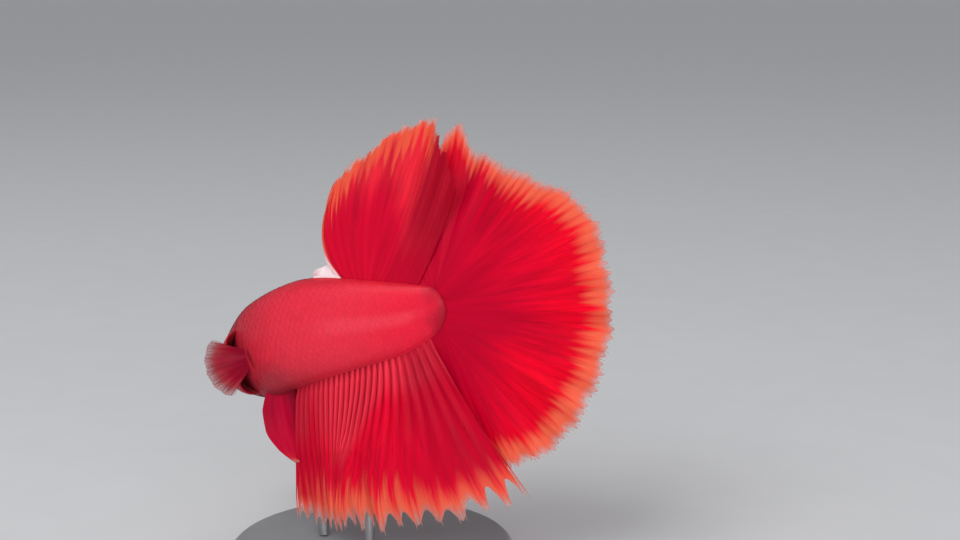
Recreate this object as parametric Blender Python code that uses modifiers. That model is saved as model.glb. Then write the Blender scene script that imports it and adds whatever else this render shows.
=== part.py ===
"""A life-size male betta in full display: a long-finned fighting fish that turns away while it spreads
every fin, held over a small round base by two rods. Run it in Blender 4.5; units are metres, +Z is up.

The origin is the centre of the base's underside. The tail end of the body lies towards +X, the head
towards -X and +Y, and the fish's left side faces -Y.
"""

import math

import bmesh
import bpy
import numpy as np

MM = 0.001

# ---- Driving dimensions -------------------------------------------------------------------------
BODY_LENGTH = 47 * MM  # snout tip to the root of the tail fin
TAIL_ROOT = np.array([10, -7, 41]) * MM  # middle of the body's rear end
SEAM = 0.3 * MM  # gap left between neighbouring pieces
FIN_THICKNESS = 0.6 * MM

# A station is a share of the body's length behind the snout. These run from snout to tail root: degrees
# that the body points away from -X, degrees nose down, and its back, belly and half width in body lengths.
HEADING = ((0, 66), (0.15, 61), (0.3, 50), (0.55, 33), (0.8, 20), (1, 14))
PITCH = ((0, 22), (0.3, 25), (0.6, 18), (0.8, 11), (1, 9))
BACK = ((0, 0.028), (0.035, 0.048), (0.16, 0.096), (0.34, 0.146), (0.55, 0.156), (0.8, 0.110), (1, 0.070))
BELLY = (
    (0, 0.002), (0.05, -0.052), (0.16, -0.106), (0.34, -0.168), (0.6, -0.160), (0.85, -0.134), (1, -0.072)
)
HALF_WIDTH = (
    (0, 0.016), (0.04, 0.040), (0.11, 0.061), (0.2, 0.076), (0.36, 0.086), (0.55, 0.080), (0.78, 0.050),
    (1, 0.022)
)

GILL_STATION = 0.285  # where the head ends and the trunk begins
STALK_STATION = 0.82  # where the trunk ends and the tail stalk begins
SIDES = 24  # facets round the body

EYE_STATION = 0.105
EYE_RISE = 0.030  # height over the body's axis, as a share of its length
EYE_RADIUS = 1.65 * MM
EYE_DEPTH = 1.05 * MM  # half its thickness, across the head
EYE_PROUD = 0.5 * MM  # how far the eye stands out of the head's side

BASE_RADIUS = 21 * MM
BASE_HEIGHT = 4 * MM
ROD_RADIUS = 0.8 * MM
ROD_STATIONS = {"front": 0.50, "rear": 0.72}
ROD_SIDE = math.radians(-132)  # how far round the body the rods meet it, low on the right flank


# ---- Curves and frames --------------------------------------------------------------------------
def eased(knots):
    """A smooth function through (place, value) knots: cubic pieces that never overshoot, because the slope
    at a knot is the harmonic mean of those beside it, and level where they differ in sign."""
    x = np.array([k[0] for k in knots], float)
    y = np.array([k[1] for k in knots], float)
    step = np.diff(y) / np.diff(x)
    before, after = step[:-1], step[1:]
    level = before * after <= 0
    mean = 2 * before * after / np.where(level, 1, before + after)
    slope = np.concatenate([[step[0]], np.where(level, 0, mean), [step[-1]]])

    def value(at):
        at = np.asarray(at, float)
        i = np.clip(np.searchsorted(x, at, side="right") - 1, 0, len(x) - 2)
        width = x[i + 1] - x[i]
        s = (at - x[i]) / width
        start = (1 + 2 * s) * (1 - s) ** 2 * y[i] + s * (1 - s) ** 2 * width * slope[i]
        end = s * s * (3 - 2 * s) * y[i + 1] + s * s * (s - 1) * width * slope[i + 1]
        return start + end

    return value


heading_at = eased(HEADING)
pitch_at = eased(PITCH)
back_at = eased(BACK)
belly_at = eased(BELLY)
half_width_at = eased(HALF_WIDTH)


def axes_at(station):
    """Unit vectors at a station of the body: forward along it, up, and to the fish's left."""
    heading, pitch = np.radians(heading_at(station)), np.radians(pitch_at(station))
    forward = np.stack(
        [-np.cos(pitch) * np.cos(heading), np.cos(pitch) * np.sin(heading), -np.sin(pitch)], -1
    )
    left = np.stack([-np.sin(heading), -np.cos(heading), np.zeros_like(heading)], -1)
    return forward, np.cross(forward, left), left


SPINE_STATIONS = np.linspace(0, 1, 401)
_steps = axes_at((SPINE_STATIONS[1:] + SPINE_STATIONS[:-1]) / 2)[0] * BODY_LENGTH / 400
SPINE = TAIL_ROOT + np.concatenate([np.cumsum(_steps[::-1], 0)[::-1], np.zeros((1, 3))])


def spine_at(station):
    """Points of the body's bent middle line."""
    return np.stack([np.interp(station, SPINE_STATIONS, SPINE[:, k]) for k in range(3)], -1)


def on_body(station, around, out=0.0):
    """Points of the body's surface. around is 0 on the left flank, pi/2 on the back and -pi/2 on the belly;
    out is how far they stand off it. A section is an oval that is a little squarer than an ellipse."""
    station, around = np.broadcast_arrays(np.asarray(station, float), np.asarray(around, float))
    _, up, left = axes_at(station)
    back, belly = back_at(station) * BODY_LENGTH, belly_at(station) * BODY_LENGTH
    middle, half = (back + belly) / 2, (back - belly) / 2 + out
    rise = np.sign(np.sin(around)) * np.abs(np.sin(around)) ** 0.92
    side = np.sign(np.cos(around)) * np.abs(np.cos(around)) ** 0.92
    width = half_width_at(station) * BODY_LENGTH + out
    return spine_at(station) + up * (middle + half * rise)[..., None] + left * (width * side)[..., None]


# ---- Scene helpers ------------------------------------------------------------------------------
def clear_scene():
    for obj in list(bpy.data.objects):
        bpy.data.objects.remove(obj)


def new_collection(name):
    collection = bpy.data.collections.new(name)
    bpy.context.scene.collection.children.link(collection)
    return collection


def finish(name, colour, roughness, metallic=0.0):
    material = bpy.data.materials.new(name)
    material.use_nodes = True
    shader = material.node_tree.nodes["Principled BSDF"]
    shader.inputs["Base Color"].default_value = (*colour, 1)
    shader.inputs["Roughness"].default_value = roughness
    shader.inputs["Metallic"].default_value = metallic
    return material


def add_shape(name, shape, collection, material=None):
    """Turn a bmesh into an object."""
    mesh = bpy.data.meshes.new(name)
    shape.to_mesh(mesh)
    shape.free()
    obj = bpy.data.objects.new(name, mesh)
    collection.objects.link(obj)
    if material:
        mesh.materials.append(material)
        mesh.shade_smooth()
    return obj


def loft(name, rings, collection, material=None):
    """A closed body through rings of points, all with the same count, with a flat cap at each end."""
    count = len(rings[0])
    shape = bmesh.new()
    verts = [shape.verts.new(point) for ring in rings for point in ring]
    for ring in range(len(rings) - 1):
        for k in range(count):
            a, b = ring * count + k, ring * count + (k + 1) % count
            shape.faces.new([verts[i] for i in (a, b, b + count, a + count)])
    shape.faces.new(verts[:count][::-1])
    shape.faces.new(verts[-count:])
    bmesh.ops.recalc_face_normals(shape, faces=shape.faces)
    return add_shape(name, shape, collection, material)


def sheet(name, place, columns, rows, collection, material):
    """A grid laid out by place(u, v), with u across it and v along it from 0 to 1, as thick as a fin."""
    shape = bmesh.new()
    bmesh.ops.create_grid(shape, x_segments=columns, y_segments=rows, size=0.5)
    flat = np.array([v.co for v in shape.verts])
    for vert, point in zip(shape.verts, place(flat[:, 0] + 0.5, flat[:, 1] + 0.5)):
        vert.co = point
    obj = add_shape(name, shape, collection, material)
    wall = obj.modifiers.new("thickness", "SOLIDIFY")
    wall.thickness = FIN_THICKNESS
    wall.offset = 0
    return obj


def cut(obj, cutter, operation="DIFFERENCE"):
    boolean = obj.modifiers.new(operation.lower(), "BOOLEAN")
    boolean.operation = operation
    boolean.object = cutter
    cutter.hide_render = True
    cutter.display_type = "WIRE"


# ---- Body ---------------------------------------------------------------------------------------
AROUND = np.linspace(0, 2 * math.pi, SIDES, endpoint=False)


def body_rings(first, last, count, out=0.0):
    return [on_body(station, AROUND, out) for station in np.linspace(first, last, count)]


def make_trunk(collection, skin):
    half_seam = SEAM / 2 / BODY_LENGTH
    loft("trunk", body_rings(GILL_STATION + half_seam, STALK_STATION - half_seam, 14), collection, skin)
    loft("tail_stalk", body_rings(STALK_STATION + half_seam, 1, 5), collection, skin)


# ---- Head ---------------------------------------------------------------------------------------
COVER_START = 0.165  # station of a gill cover's hinged front edge
GILL_TUCK = 0.75 * MM  # how much slimmer the head is under the gill covers
# The lower jaw's outline as (station, rise in body lengths): lip, mouth corner, throat, below the chin.
JAW = ((-0.02, 0.024), (0.055, -0.008), (0.085, -0.110), (-0.02, -0.110))
JAW_BLOCK_HALF = 5 * MM  # half the width of the block that parts it, wider than the head


def head_rings():
    """Rings that close up towards the snout, slimmer under the gill covers."""
    cheeks = (1 - np.cos(np.linspace(0.12, 1, 10) * math.pi / 2)) * (COVER_START - 0.02)
    gills = np.linspace(COVER_START - 0.006, GILL_STATION - SEAM / 2 / BODY_LENGTH, 6)
    rings = []
    for station in np.concatenate([cheeks, gills]):
        tucked = GILL_TUCK if station > cheeks[-1] else 0
        rings.append(on_body(station, AROUND) - axes_at(station)[2] * (tucked * np.cos(AROUND))[:, None])
    return rings


def jaw_block(name, grow, collection):
    """The block that parts the lower jaw from the head, grown outwards by a distance."""
    middle = np.mean(JAW, 0)
    rings = []
    for side in (-1, 1):
        ring = []
        for station, rise in JAW:
            away = np.array([station, rise]) - middle
            station, rise = middle + away * (1 + grow / BODY_LENGTH / np.linalg.norm(away))
            _, up, left = axes_at(station)
            foot = SPINE[0] - axes_at(0.0)[0] * station * BODY_LENGTH
            ring.append(foot + up * rise * BODY_LENGTH + left * side * JAW_BLOCK_HALF)
        rings.append(ring)
    return loft(name, rings, collection)


def make_head(collection, cutters, skin, eye_finish):
    """The head back to the gills with a socket for each eye, its lower jaw, and the eyes."""
    head = loft("head", head_rings(), collection, skin)
    jaw = loft("lower_jaw", head_rings(), collection, skin)
    cut(head, jaw_block("jaw_room", SEAM, cutters))
    cut(jaw, jaw_block("jaw_block", 0, cutters), "INTERSECT")
    for side in ("left", "right"):
        eyeball(f"eye_{side}", 0, side, collection, eye_finish)
        cut(head, eyeball(f"socket_{side}", SEAM, side, cutters))


def eyeball(name, grow, side, collection, material=None):
    """A ball flattened across the head, which stands a little out of its side."""
    _, up, left = axes_at(EYE_STATION)
    out = left if side == "left" else -left
    across = half_width_at(EYE_STATION) * BODY_LENGTH - EYE_DEPTH + EYE_PROUD
    centre = spine_at(EYE_STATION) + up * EYE_RISE * BODY_LENGTH + out * across
    shape = bmesh.new()
    bmesh.ops.create_uvsphere(shape, u_segments=16, v_segments=10, radius=EYE_RADIUS + grow)
    for vert in shape.verts:
        point = np.array(vert.co)
        flatter = 1 - (EYE_DEPTH + grow) / (EYE_RADIUS + grow)
        vert.co = centre + point - out * (point @ out) * flatter
    return add_shape(name, shape, collection, material)


# ---- Gill covers --------------------------------------------------------------------------------
COVER_END = 0.312  # station of a cover's free rear edge
COVER_HINGE_BOW = 0.04  # how much further back its hinge ends than its middle, in body lengths
COVER_SPAN = (math.radians(42), math.radians(-72))  # how far up and down the side it reaches
COVER_FLARE = 1.7 * MM  # how far its rear edge stands off the body


def cover_place(sign):
    """A plate with rounded edges, which stands off the head more the further it is from its hinge."""

    def place(u, v):
        around = COVER_SPAN[0] + (COVER_SPAN[1] - COVER_SPAN[0]) * u
        reach = np.sin(math.pi * (0.12 + 0.76 * u)) ** 0.6
        hinge = COVER_START + COVER_HINGE_BOW * (1 - reach)
        rim = COVER_START + (COVER_END - COVER_START) * (0.55 + 0.45 * reach)
        station = hinge + (rim - hinge) * v
        stand_off = SEAM + FIN_THICKNESS / 2 + COVER_FLARE * v**1.2 * (0.35 + 0.65 * reach)
        tuck = GILL_TUCK * np.cos(around) * (1 - v) ** 2
        return on_body(station, around if sign > 0 else math.pi - around, stand_off - tuck)

    return place


def make_gill_covers(collection, skin):
    for side, sign in (("left", 1), ("right", -1)):
        sheet(f"gill_cover_{side}", cover_place(sign), 10, 6, collection, skin)


# ---- Tail, back and belly fins ------------------------------------------------------------------
def folds(u, count):
    """A zigzag between -1 and 1 with count whole folds over u from 0 to 1."""
    return 1 - 4 * np.abs((u * count) % 1 - 0.5)


def fold_depth(reach):
    """How far a fin's folds stand to each side, at a distance from its root."""
    return 0.04 * MM + 0.016 * reach


# Reach of the tail's rays in mm, by their angle in degrees over the body's line.
TAIL_REACH = eased(
    ((-94, 21), (-77, 21.6), (-55, 23.4), (-21, 23.7), (-4, 24.4), (20, 25.1), (38, 21.8), (52, 19.7),
     (68, 19.6), (78, 22.4), (112, 20))
)
TAIL_FAN = (112, -94)  # angles of the tail's top and bottom rays
TAIL_FOLDS = 19


def bump(x, centre, width):
    return np.exp(-(((x - centre) / width) ** 2))


def tail_place(u, v):
    """The half-moon tail: rays that fan out from the stalk's end, its top and bottom swept to the right."""
    forward, up, left = axes_at(1.0)
    degrees = TAIL_FAN[0] + (TAIL_FAN[1] - TAIL_FAN[0]) * u
    angle = np.radians(degrees)
    half_root = (back_at(1) - belly_at(1)) / 2 * BODY_LENGTH
    middle = (back_at(1) + belly_at(1)) / 2 * BODY_LENGTH
    reach = TAIL_REACH(degrees) * MM * (1 + 0.022 * folds(u, TAIL_FOLDS) * v) * v
    along = SEAM * (1.3 + 2.5 * bump(degrees, 112, 24)) + reach * np.cos(angle)
    rise = middle + half_root * np.sin(np.clip(angle, -math.pi / 2, math.pi / 2)) + reach * np.sin(angle)
    swept = -4.5 * bump(degrees, 85, 38) * v**1.1 - 3.2 * bump(degrees, -90, 26) * v**0.8
    swept = swept + 1.2 * np.sin(angle * 3 + 0.6) * v**1.6
    across = swept * MM + folds(u, TAIL_FOLDS) * fold_depth(reach)
    return TAIL_ROOT - forward * along[:, None] + up * rise[:, None] + left * across[:, None]


def edge_fin(root, span, lengths, angles, curls, count, sway):
    """A fin along the back or the belly. root is pi/2 or -pi/2 and span its first and last stations.
    lengths and angles give the rays' lengths in mm and their lean towards the tail in degrees, as functions
    of u, and curls how much further back they bend towards their tips; sway(u, v) is how far, in mm, they
    stand to the left."""
    outward = 1 if root > 0 else -1

    def place(u, v):
        station = span[0] + (span[1] - span[0]) * u
        forward, up, left = axes_at(station)
        lean = np.radians(angles(u) + curls(u) * v)
        reach = lengths(u) * MM * v * (1 + 0.03 * folds(u, count) * v)
        along, rise = reach * np.sin(lean), reach * np.cos(lean) * outward
        across = sway(u, v) * MM + folds(u, count) * fold_depth(reach)
        foot = on_body(station, root, SEAM)
        return foot - forward * along[:, None] + up * rise[:, None] + left * across[:, None]

    return place


DORSAL_SPAN = (0.625, 0.91)
DORSAL_LENGTHS = eased(
    ((0, 0.5), (0.22, 3), (0.29, 12.8), (0.38, 16.6), (0.52, 21), (0.65, 25.2), (0.82, 22), (1, 18))
)
DORSAL_LEAN = eased(((0, 14), (0.22, 8), (0.29, -7), (0.38, 2), (0.52, 23), (0.65, 45), (0.82, 39), (1, 40)))
DORSAL_CURL = eased(((0, 0), (0.29, 14), (0.52, 4), (0.65, -6), (1, -6)))
DORSAL_SWAY = eased(((0, 0), (0.29, 0.4), (0.65, 2.4), (1, 1.0)))
DORSAL_FOLDS = 11
ANAL_SPAN = (0.43, 0.955)
ANAL_LENGTHS = eased(((0, 17.5), (0.06, 18.6), (0.5, 22.6), (0.85, 24.4), (1, 26.5)))
ANAL_LEAN = eased(((0, -26), (0.3, -16), (0.7, -3), (1, 20)))
ANAL_CURL = eased(((0, 8), (0.7, 6), (1, 3)))
ANAL_FOLDS = 15


def make_median_fins(collection, fin):
    dorsal = edge_fin(
        math.pi / 2, DORSAL_SPAN, DORSAL_LENGTHS, DORSAL_LEAN, DORSAL_CURL, DORSAL_FOLDS,
        lambda u, v: DORSAL_SWAY(u) * v,
    )
    anal = edge_fin(
        -math.pi / 2, ANAL_SPAN, ANAL_LENGTHS, ANAL_LEAN, ANAL_CURL, ANAL_FOLDS,
        lambda u, v: (0.6 + 1.8 * u) * v**0.7,
    )
    sheet("dorsal_fin", dorsal, 2 * DORSAL_FOLDS, 8, collection, fin)
    sheet("anal_fin", anal, 2 * ANAL_FOLDS, 9, collection, fin)
    sheet("tail_fin", tail_place, 2 * TAIL_FOLDS, 9, collection, fin)


# ---- Paired fins --------------------------------------------------------------------------------
PELVIC_LENGTH = 9.7 * MM
PELVIC_WIDTH = eased(((0, 1.8), (0.15, 4.2), (0.45, 6.0), (0.75, 4.2), (1, 0.5)))
PELVIC_STATION = 0.345
PELVIC_WIDTH_SLANT = math.radians(50)  # how far its width turns from fore and aft to across the body
PELVIC_POSE = {"left": (-78, -10, 4), "right": (-114, 2, 16)}  # degrees round the body, lean back, splay
PECTORAL_LENGTH = 6.8 * MM
PECTORAL_STATION = 0.335
PECTORAL_ROOT = (4, -18)  # degrees round the body of its first and last rays
PECTORAL_FAN = (24, -40)  # degrees of the top and bottom rays over the level
PECTORAL_SWEEP = {"left": 2, "right": -28}  # degrees that a fin points forward of straight out
PECTORAL_FOLDS = 5


def pelvic_place(side):
    """A long leaf that hangs from the breast, broad in its upper half and drawn out to a point."""
    around, lean, splay = (math.radians(angle) for angle in PELVIC_POSE[side])
    forward, up, left = axes_at(PELVIC_STATION)
    root = on_body(PELVIC_STATION, around, SEAM)
    out = left if side == "left" else -left
    along = -up * math.cos(lean) * math.cos(splay) - forward * math.sin(lean) + out * math.sin(splay)
    across = math.cos(PELVIC_WIDTH_SLANT) * forward + math.sin(PELVIC_WIDTH_SLANT) * left
    across = across - along * (across @ along)
    across = across / np.linalg.norm(across)
    normal = np.cross(along, across)

    def place(u, v):
        wide = PELVIC_WIDTH(v) * MM * (u - 0.5)
        bow = (0.5 * np.sin(math.pi * v) + 0.6 * folds(u, 1) * v * (1 - v)) * MM
        bend = 0.8 * MM * v**2
        reach = SEAM + PELVIC_LENGTH * v
        return root + along * reach[:, None] + across * (wide - bend)[:, None] + normal * bow[:, None]

    return place


def pectoral_place(side):
    """A fan that stands out from behind the gill cover, its rays spread up and down."""
    sign = 1 if side == "left" else -1
    forward, up, left = axes_at(PECTORAL_STATION)
    out = left * sign
    sweep = math.radians(PECTORAL_SWEEP[side])

    def place(u, v):
        angle = np.radians(PECTORAL_FAN[0] + (PECTORAL_FAN[1] - PECTORAL_FAN[0]) * u)
        around = np.radians(PECTORAL_ROOT[0] + (PECTORAL_ROOT[1] - PECTORAL_ROOT[0]) * u)
        foot = on_body(PECTORAL_STATION, around if sign > 0 else math.pi - around, SEAM)
        reach = PECTORAL_LENGTH * v * (1 - 0.25 * (2 * u - 1) ** 2)
        ahead = reach * np.cos(angle) * math.sin(sweep) + folds(u, PECTORAL_FOLDS) * 0.22 * MM * v
        level = reach * np.cos(angle) * math.cos(sweep)
        return foot + out * level[:, None] + forward * ahead[:, None] + up * (reach * np.sin(angle))[:, None]

    return place


def make_paired_fins(collection, fin):
    for side in ("left", "right"):
        sheet(f"pelvic_fin_{side}", pelvic_place(side), 6, 10, collection, fin)
        sheet(f"pectoral_fin_{side}", pectoral_place(side), 2 * PECTORAL_FOLDS, 4, collection, fin)


# ---- Stand --------------------------------------------------------------------------------------
def cylinder(name, radius, bottom, top, segments, collection, material):
    shape = bmesh.new()
    bmesh.ops.create_cone(
        shape, cap_ends=True, segments=segments, radius1=radius, radius2=radius, depth=top - bottom
    )
    bmesh.ops.translate(shape, verts=shape.verts, vec=(0, 0, (top + bottom) / 2))
    return add_shape(name, shape, collection, material)


def make_stand(collection, cutters, base_finish, rod_finish):
    """A round base, and two rods that rise on the fish's far side and are saddled to its flank."""
    base = cylinder("stand_base", BASE_RADIUS, 0, BASE_HEIGHT, 56, collection, base_finish)
    bevel = base.modifiers.new("edge", "BEVEL")
    bevel.width = 0.5 * MM
    bevel.segments = 1
    room = loft("trunk_room", body_rings(GILL_STATION, STALK_STATION, 14, SEAM), cutters)
    for name, station in ROD_STATIONS.items():
        x, y, height = on_body(station, ROD_SIDE)
        rod = cylinder(
            f"stand_rod_{name}", ROD_RADIUS, BASE_HEIGHT + SEAM, height + ROD_RADIUS, 20, collection,
            rod_finish,
        )
        rod.location = (x, y, 0)
        cut(rod, room)


def main():
    clear_scene()
    fish = new_collection("betta")
    cutters = new_collection("cutters")
    skin = finish("skin", (0.72, 0.05, 0.06), 0.42)
    fin = finish("fin", (0.70, 0.01, 0.02), 0.5)
    eye_finish = finish("eye", (0.02, 0.015, 0.015), 0.1)
    base_finish = finish("stand_base", (0.25, 0.25, 0.26), 0.5)
    rod_finish = finish("stand_rod", (0.55, 0.55, 0.56), 0.3, 1.0)
    make_trunk(fish, skin)
    make_head(fish, cutters, skin, eye_finish)
    make_gill_covers(fish, skin)
    make_median_fins(fish, fin)
    make_paired_fins(fish, fin)
    make_stand(fish, cutters, base_finish, rod_finish)


main()
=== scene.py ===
"""Dresses the model of a male betta in full display: skin, scales, eyes, rayed fins, stand and studio."""

import math

import bpy
import numpy as np
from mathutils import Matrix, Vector


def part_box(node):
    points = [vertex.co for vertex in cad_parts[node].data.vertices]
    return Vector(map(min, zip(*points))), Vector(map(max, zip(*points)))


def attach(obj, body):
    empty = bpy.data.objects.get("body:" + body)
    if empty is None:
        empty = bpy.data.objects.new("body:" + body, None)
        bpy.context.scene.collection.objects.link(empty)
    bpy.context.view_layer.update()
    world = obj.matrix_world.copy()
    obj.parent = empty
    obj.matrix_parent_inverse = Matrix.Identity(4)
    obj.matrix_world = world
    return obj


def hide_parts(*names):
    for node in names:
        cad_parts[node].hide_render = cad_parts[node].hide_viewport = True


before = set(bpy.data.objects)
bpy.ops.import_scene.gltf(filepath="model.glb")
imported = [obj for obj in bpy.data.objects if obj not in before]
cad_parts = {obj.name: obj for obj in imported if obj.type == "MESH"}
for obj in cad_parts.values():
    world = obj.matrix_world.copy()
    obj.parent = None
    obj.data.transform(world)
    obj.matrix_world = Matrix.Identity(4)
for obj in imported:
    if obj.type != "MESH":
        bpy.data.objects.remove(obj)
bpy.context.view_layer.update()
MM = 0.001

# ---- Skin ---------------------------------------------------------------------------------------
# One hide covers the whole body: snout, jaws, cheeks, flared gill covers, trunk and tail stalk. It is laid
# ring by ring along the bent middle line; at the gills its rings run out over each cover, turn round the
# free rim, go back inside to the hinge and come out again over the shoulder, so nothing has a seam.
BODY_LENGTH = 47 * MM
TAIL_ROOT = np.array([10, -7, 41]) * MM
COAT = 0.13 * MM  # how far the hide lies inside the scales' outer faces
# Stations are shares of the body's length behind the snout; heading and pitch are in degrees, the rest in
# body lengths.
SNOUT_TIP, SNOUT_ROUND = -0.008, 0.014  # where the hide starts, and where the snout's round tip ends
HEADING = ((0, 66), (0.15, 61), (0.3, 50), (0.55, 33), (0.8, 20), (1, 14))
PITCH = ((0, 22), (0.3, 25), (0.6, 18), (0.8, 11), (1, 9))
BACK = ((0, 0.028), (0.035, 0.048), (0.16, 0.096), (0.34, 0.146), (0.55, 0.156), (0.8, 0.110), (1, 0.070))
BELLY = (
    (0, 0.002), (0.05, -0.052), (0.16, -0.106), (0.34, -0.168), (0.6, -0.160), (0.85, -0.134), (1, -0.072)
)
HALF_WIDTH = (
    (0, 0.016), (0.04, 0.040), (0.11, 0.061), (0.2, 0.076), (0.36, 0.086), (0.55, 0.080), (0.78, 0.050),
    (1, 0.022)
)
OVAL = 0.92  # below 1, so that the body's section is a little squarer than an ellipse


def eased(knots):
    """A smooth function through (place, value) knots, made of cubic Hermite pieces. The slope at a knot is
    the harmonic mean of the slopes beside it, or nil where they differ in sign, so it never overshoots."""
    x, y = np.array(knots, float).T
    step = np.diff(y) / np.diff(x)
    before, after = step[:-1], step[1:]
    level = before * after <= 0
    mean = 2 * before * after / np.where(level, 1, before + after)
    slope = np.concatenate([[step[0]], np.where(level, 0, mean), [step[-1]]])

    def value(at):
        at = np.asarray(at, float)
        i = np.clip(np.searchsorted(x, at, side="right") - 1, 0, len(x) - 2)
        width = x[i + 1] - x[i]
        s = (at - x[i]) / width
        start = (1 + 2 * s) * (1 - s) ** 2 * y[i] + s * (1 - s) ** 2 * width * slope[i]
        end = s * s * (3 - 2 * s) * y[i + 1] + s * s * (s - 1) * width * slope[i + 1]
        return start + end

    return value


def smooth(x, low, high):
    """0 below low, 1 above high, and 3t^2 - 2t^3 between; low may be the larger."""
    t = np.clip((x - low) / (high - low), 0, 1)
    return t * t * (3 - 2 * t)


def bump(x, centre, width):
    """A bell: exp(-((x - centre) / width)^2)."""
    return np.exp(-(((x - centre) / width) ** 2))


heading_at, pitch_at = eased(HEADING), eased(PITCH)
back_at, belly_at, half_width_at = eased(BACK), eased(BELLY), eased(HALF_WIDTH)


def axes_at(station):
    """Unit vectors forward, up and to the left at a station, turned by its heading and pitch."""
    station = np.clip(station, 0, 1)
    heading, pitch = np.radians(heading_at(station)), np.radians(pitch_at(station))
    forward = np.stack(
        [-np.cos(pitch) * np.cos(heading), np.cos(pitch) * np.sin(heading), -np.sin(pitch)], -1
    )
    left = np.stack([-np.sin(heading), -np.cos(heading), np.zeros_like(heading)], -1)
    return forward, np.cross(forward, left), left


SPINE_STATIONS = np.linspace(0, 1, 401)
spine_steps = axes_at((SPINE_STATIONS[1:] + SPINE_STATIONS[:-1]) / 2)[0] * BODY_LENGTH / 400
SPINE = TAIL_ROOT + np.concatenate([np.cumsum(spine_steps[::-1], 0)[::-1], np.zeros((1, 3))])


def spine_at(station):
    """Points of the middle line, which goes straight on before the snout and behind the tail root."""
    inside = np.clip(station, 0, 1)
    along = np.stack([np.interp(inside, SPINE_STATIONS, SPINE[:, k]) for k in range(3)], -1)
    return along + axes_at(inside)[0] * ((inside - station) * BODY_LENGTH)[..., None]


def on_body(station, around, out=0.0, narrow=1.0, low=1.0):
    """Points of the body: spine + up * (middle + half height * sin^OVAL) + left * half width * cos^OVAL.
    around is 0 on the left flank and pi/2 on the back; out lifts them off it, narrow and low scale the
    section's width and height."""
    station, around, out = np.broadcast_arrays(station, around, out)
    _, up, left = axes_at(station)
    inside = np.clip(station, 0, 1)
    back, belly = back_at(inside) * BODY_LENGTH, belly_at(inside) * BODY_LENGTH
    middle, half = (back + belly) / 2, (back - belly) / 2 * low + out
    rise = np.sign(np.sin(around)) * np.abs(np.sin(around)) ** OVAL
    side = np.sign(np.cos(around)) * np.abs(np.cos(around)) ** OVAL
    width = half_width_at(inside) * BODY_LENGTH * narrow + out
    return spine_at(station) + up * (middle + half * rise)[..., None] + left * (width * side)[..., None]


# Gill covers: hinged at one station and free at a later one, from high on the cheek to the throat.
COVER_START, COVER_END, COVER_HINGE_BOW = 0.165, 0.312, 0.04
COVER_TOP, COVER_BOTTOM = math.radians(42), math.radians(-72)
COVER_STEP, COVER_RISE = 0.12 * MM, 0.55 * MM  # how far it stands out at its hinge, and more at its rim
COVER_FLARE = 1.7 * MM
COVER_EDGE = 0.32 * MM  # thickness of its free rim
CHAMBER_DEPTH = 0.8 * MM
SHOULDER = 0.33  # the station where the trunk is clear of the gill chamber


def cover_at(around):
    """For a direction round the body: how fully the cover stands there (0 to 1), its hinge's and its rim's
    stations, and how far out the rim flares."""
    side = np.arcsin(np.sin(around))
    down = (COVER_TOP - side) / (COVER_TOP - COVER_BOTTOM)
    stands = smooth(down, 0.03, 0.28) * smooth(down, 0.95, 0.62)
    reach = np.sin(math.pi * (0.12 + 0.76 * np.clip(down, 0, 1))) ** 0.6
    hinge = COVER_START + COVER_HINGE_BOW * (1 - reach)
    rim = COVER_START + (COVER_END - COVER_START) * (0.55 + 0.45 * reach)
    return stands, hinge, rim, COVER_FLARE * (0.35 + 0.65 * reach)


EYE_STATION, EYE_RISE = 0.105, 0.030
EYE_RADIUS, EYE_DEPTH, EYE_PROUD = 1.65 * MM, 1.05 * MM, 0.5 * MM


def eye_place(side):
    """Centre and outward axis of an eye: half the head's width out, less its depth, plus what stands out."""
    _, up, left = axes_at(EYE_STATION)
    out = left * side
    across = float(half_width_at(EYE_STATION)) * BODY_LENGTH - EYE_DEPTH + EYE_PROUD
    return spine_at(np.array(EYE_STATION)) + up * EYE_RISE * BODY_LENGTH + out * across, out


def from_eye(points, side):
    """How far points lie out from an eye's centre along its axis, and how far away from that axis."""
    centre, out = eye_place(side)
    offset = points - centre
    deep = offset @ out
    return deep, np.linalg.norm(offset - deep[..., None] * out, axis=-1)


def head_relief(station, around):
    """How far the hide stands off the plain head, from its own features: the mouth's groove between two
    lips, nostrils, an eye socket with a raised ring, and the furrows of the cheek before the gill cover."""
    flat = on_body(station, around)
    height = np.sum((flat - spine_at(station)) * axes_at(station)[1], -1) / BODY_LENGTH
    side = np.degrees(np.arcsin(np.sin(around)))
    mouth = 0.024 - 0.032 * np.clip(station / 0.055, 0, 1.3) ** 0.8
    lips = 0.13 * MM * (bump(height - mouth, 0.0085, 0.0055) + bump(height - mouth, -0.0085, 0.0065))
    relief = smooth(station, 0.066, 0.050) * (lips - 0.24 * MM * bump(height, mouth, 0.0028))
    nostril = ((station - 0.052) / 0.006) ** 2 + ((side - 50) / 9) ** 2
    nostril_rim = np.exp(-((np.sqrt(nostril) - 1.7) ** 2) * 3)
    relief = relief - 0.22 * MM * np.exp(-nostril) + 0.07 * MM * nostril_rim
    hinge = cover_at(around)[1]
    furrow = bump(station, hinge - 0.006, 0.006) * smooth(side, -78, -55) * smooth(side, 58, 38)
    cheek = bump(station, hinge - 0.026, 0.004) * smooth(side, -70, -40) * smooth(side, 10, -5)
    relief = relief - 0.12 * MM * furrow - 0.05 * MM * cheek
    for eye_side in (1, -1):
        deep, away = from_eye(flat, eye_side)
        ring = bump(away, 1.66 * MM, 0.2 * MM) + 0.5 * bump(away, 2.15 * MM, 0.35 * MM)
        socket = smooth(away, 1.52 * MM, 1.3 * MM)
        relief = relief + smooth(deep, -0.5 * MM, 0.3 * MM) * (0.16 * MM * ring - 1.0 * MM * socket)
    return relief


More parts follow.
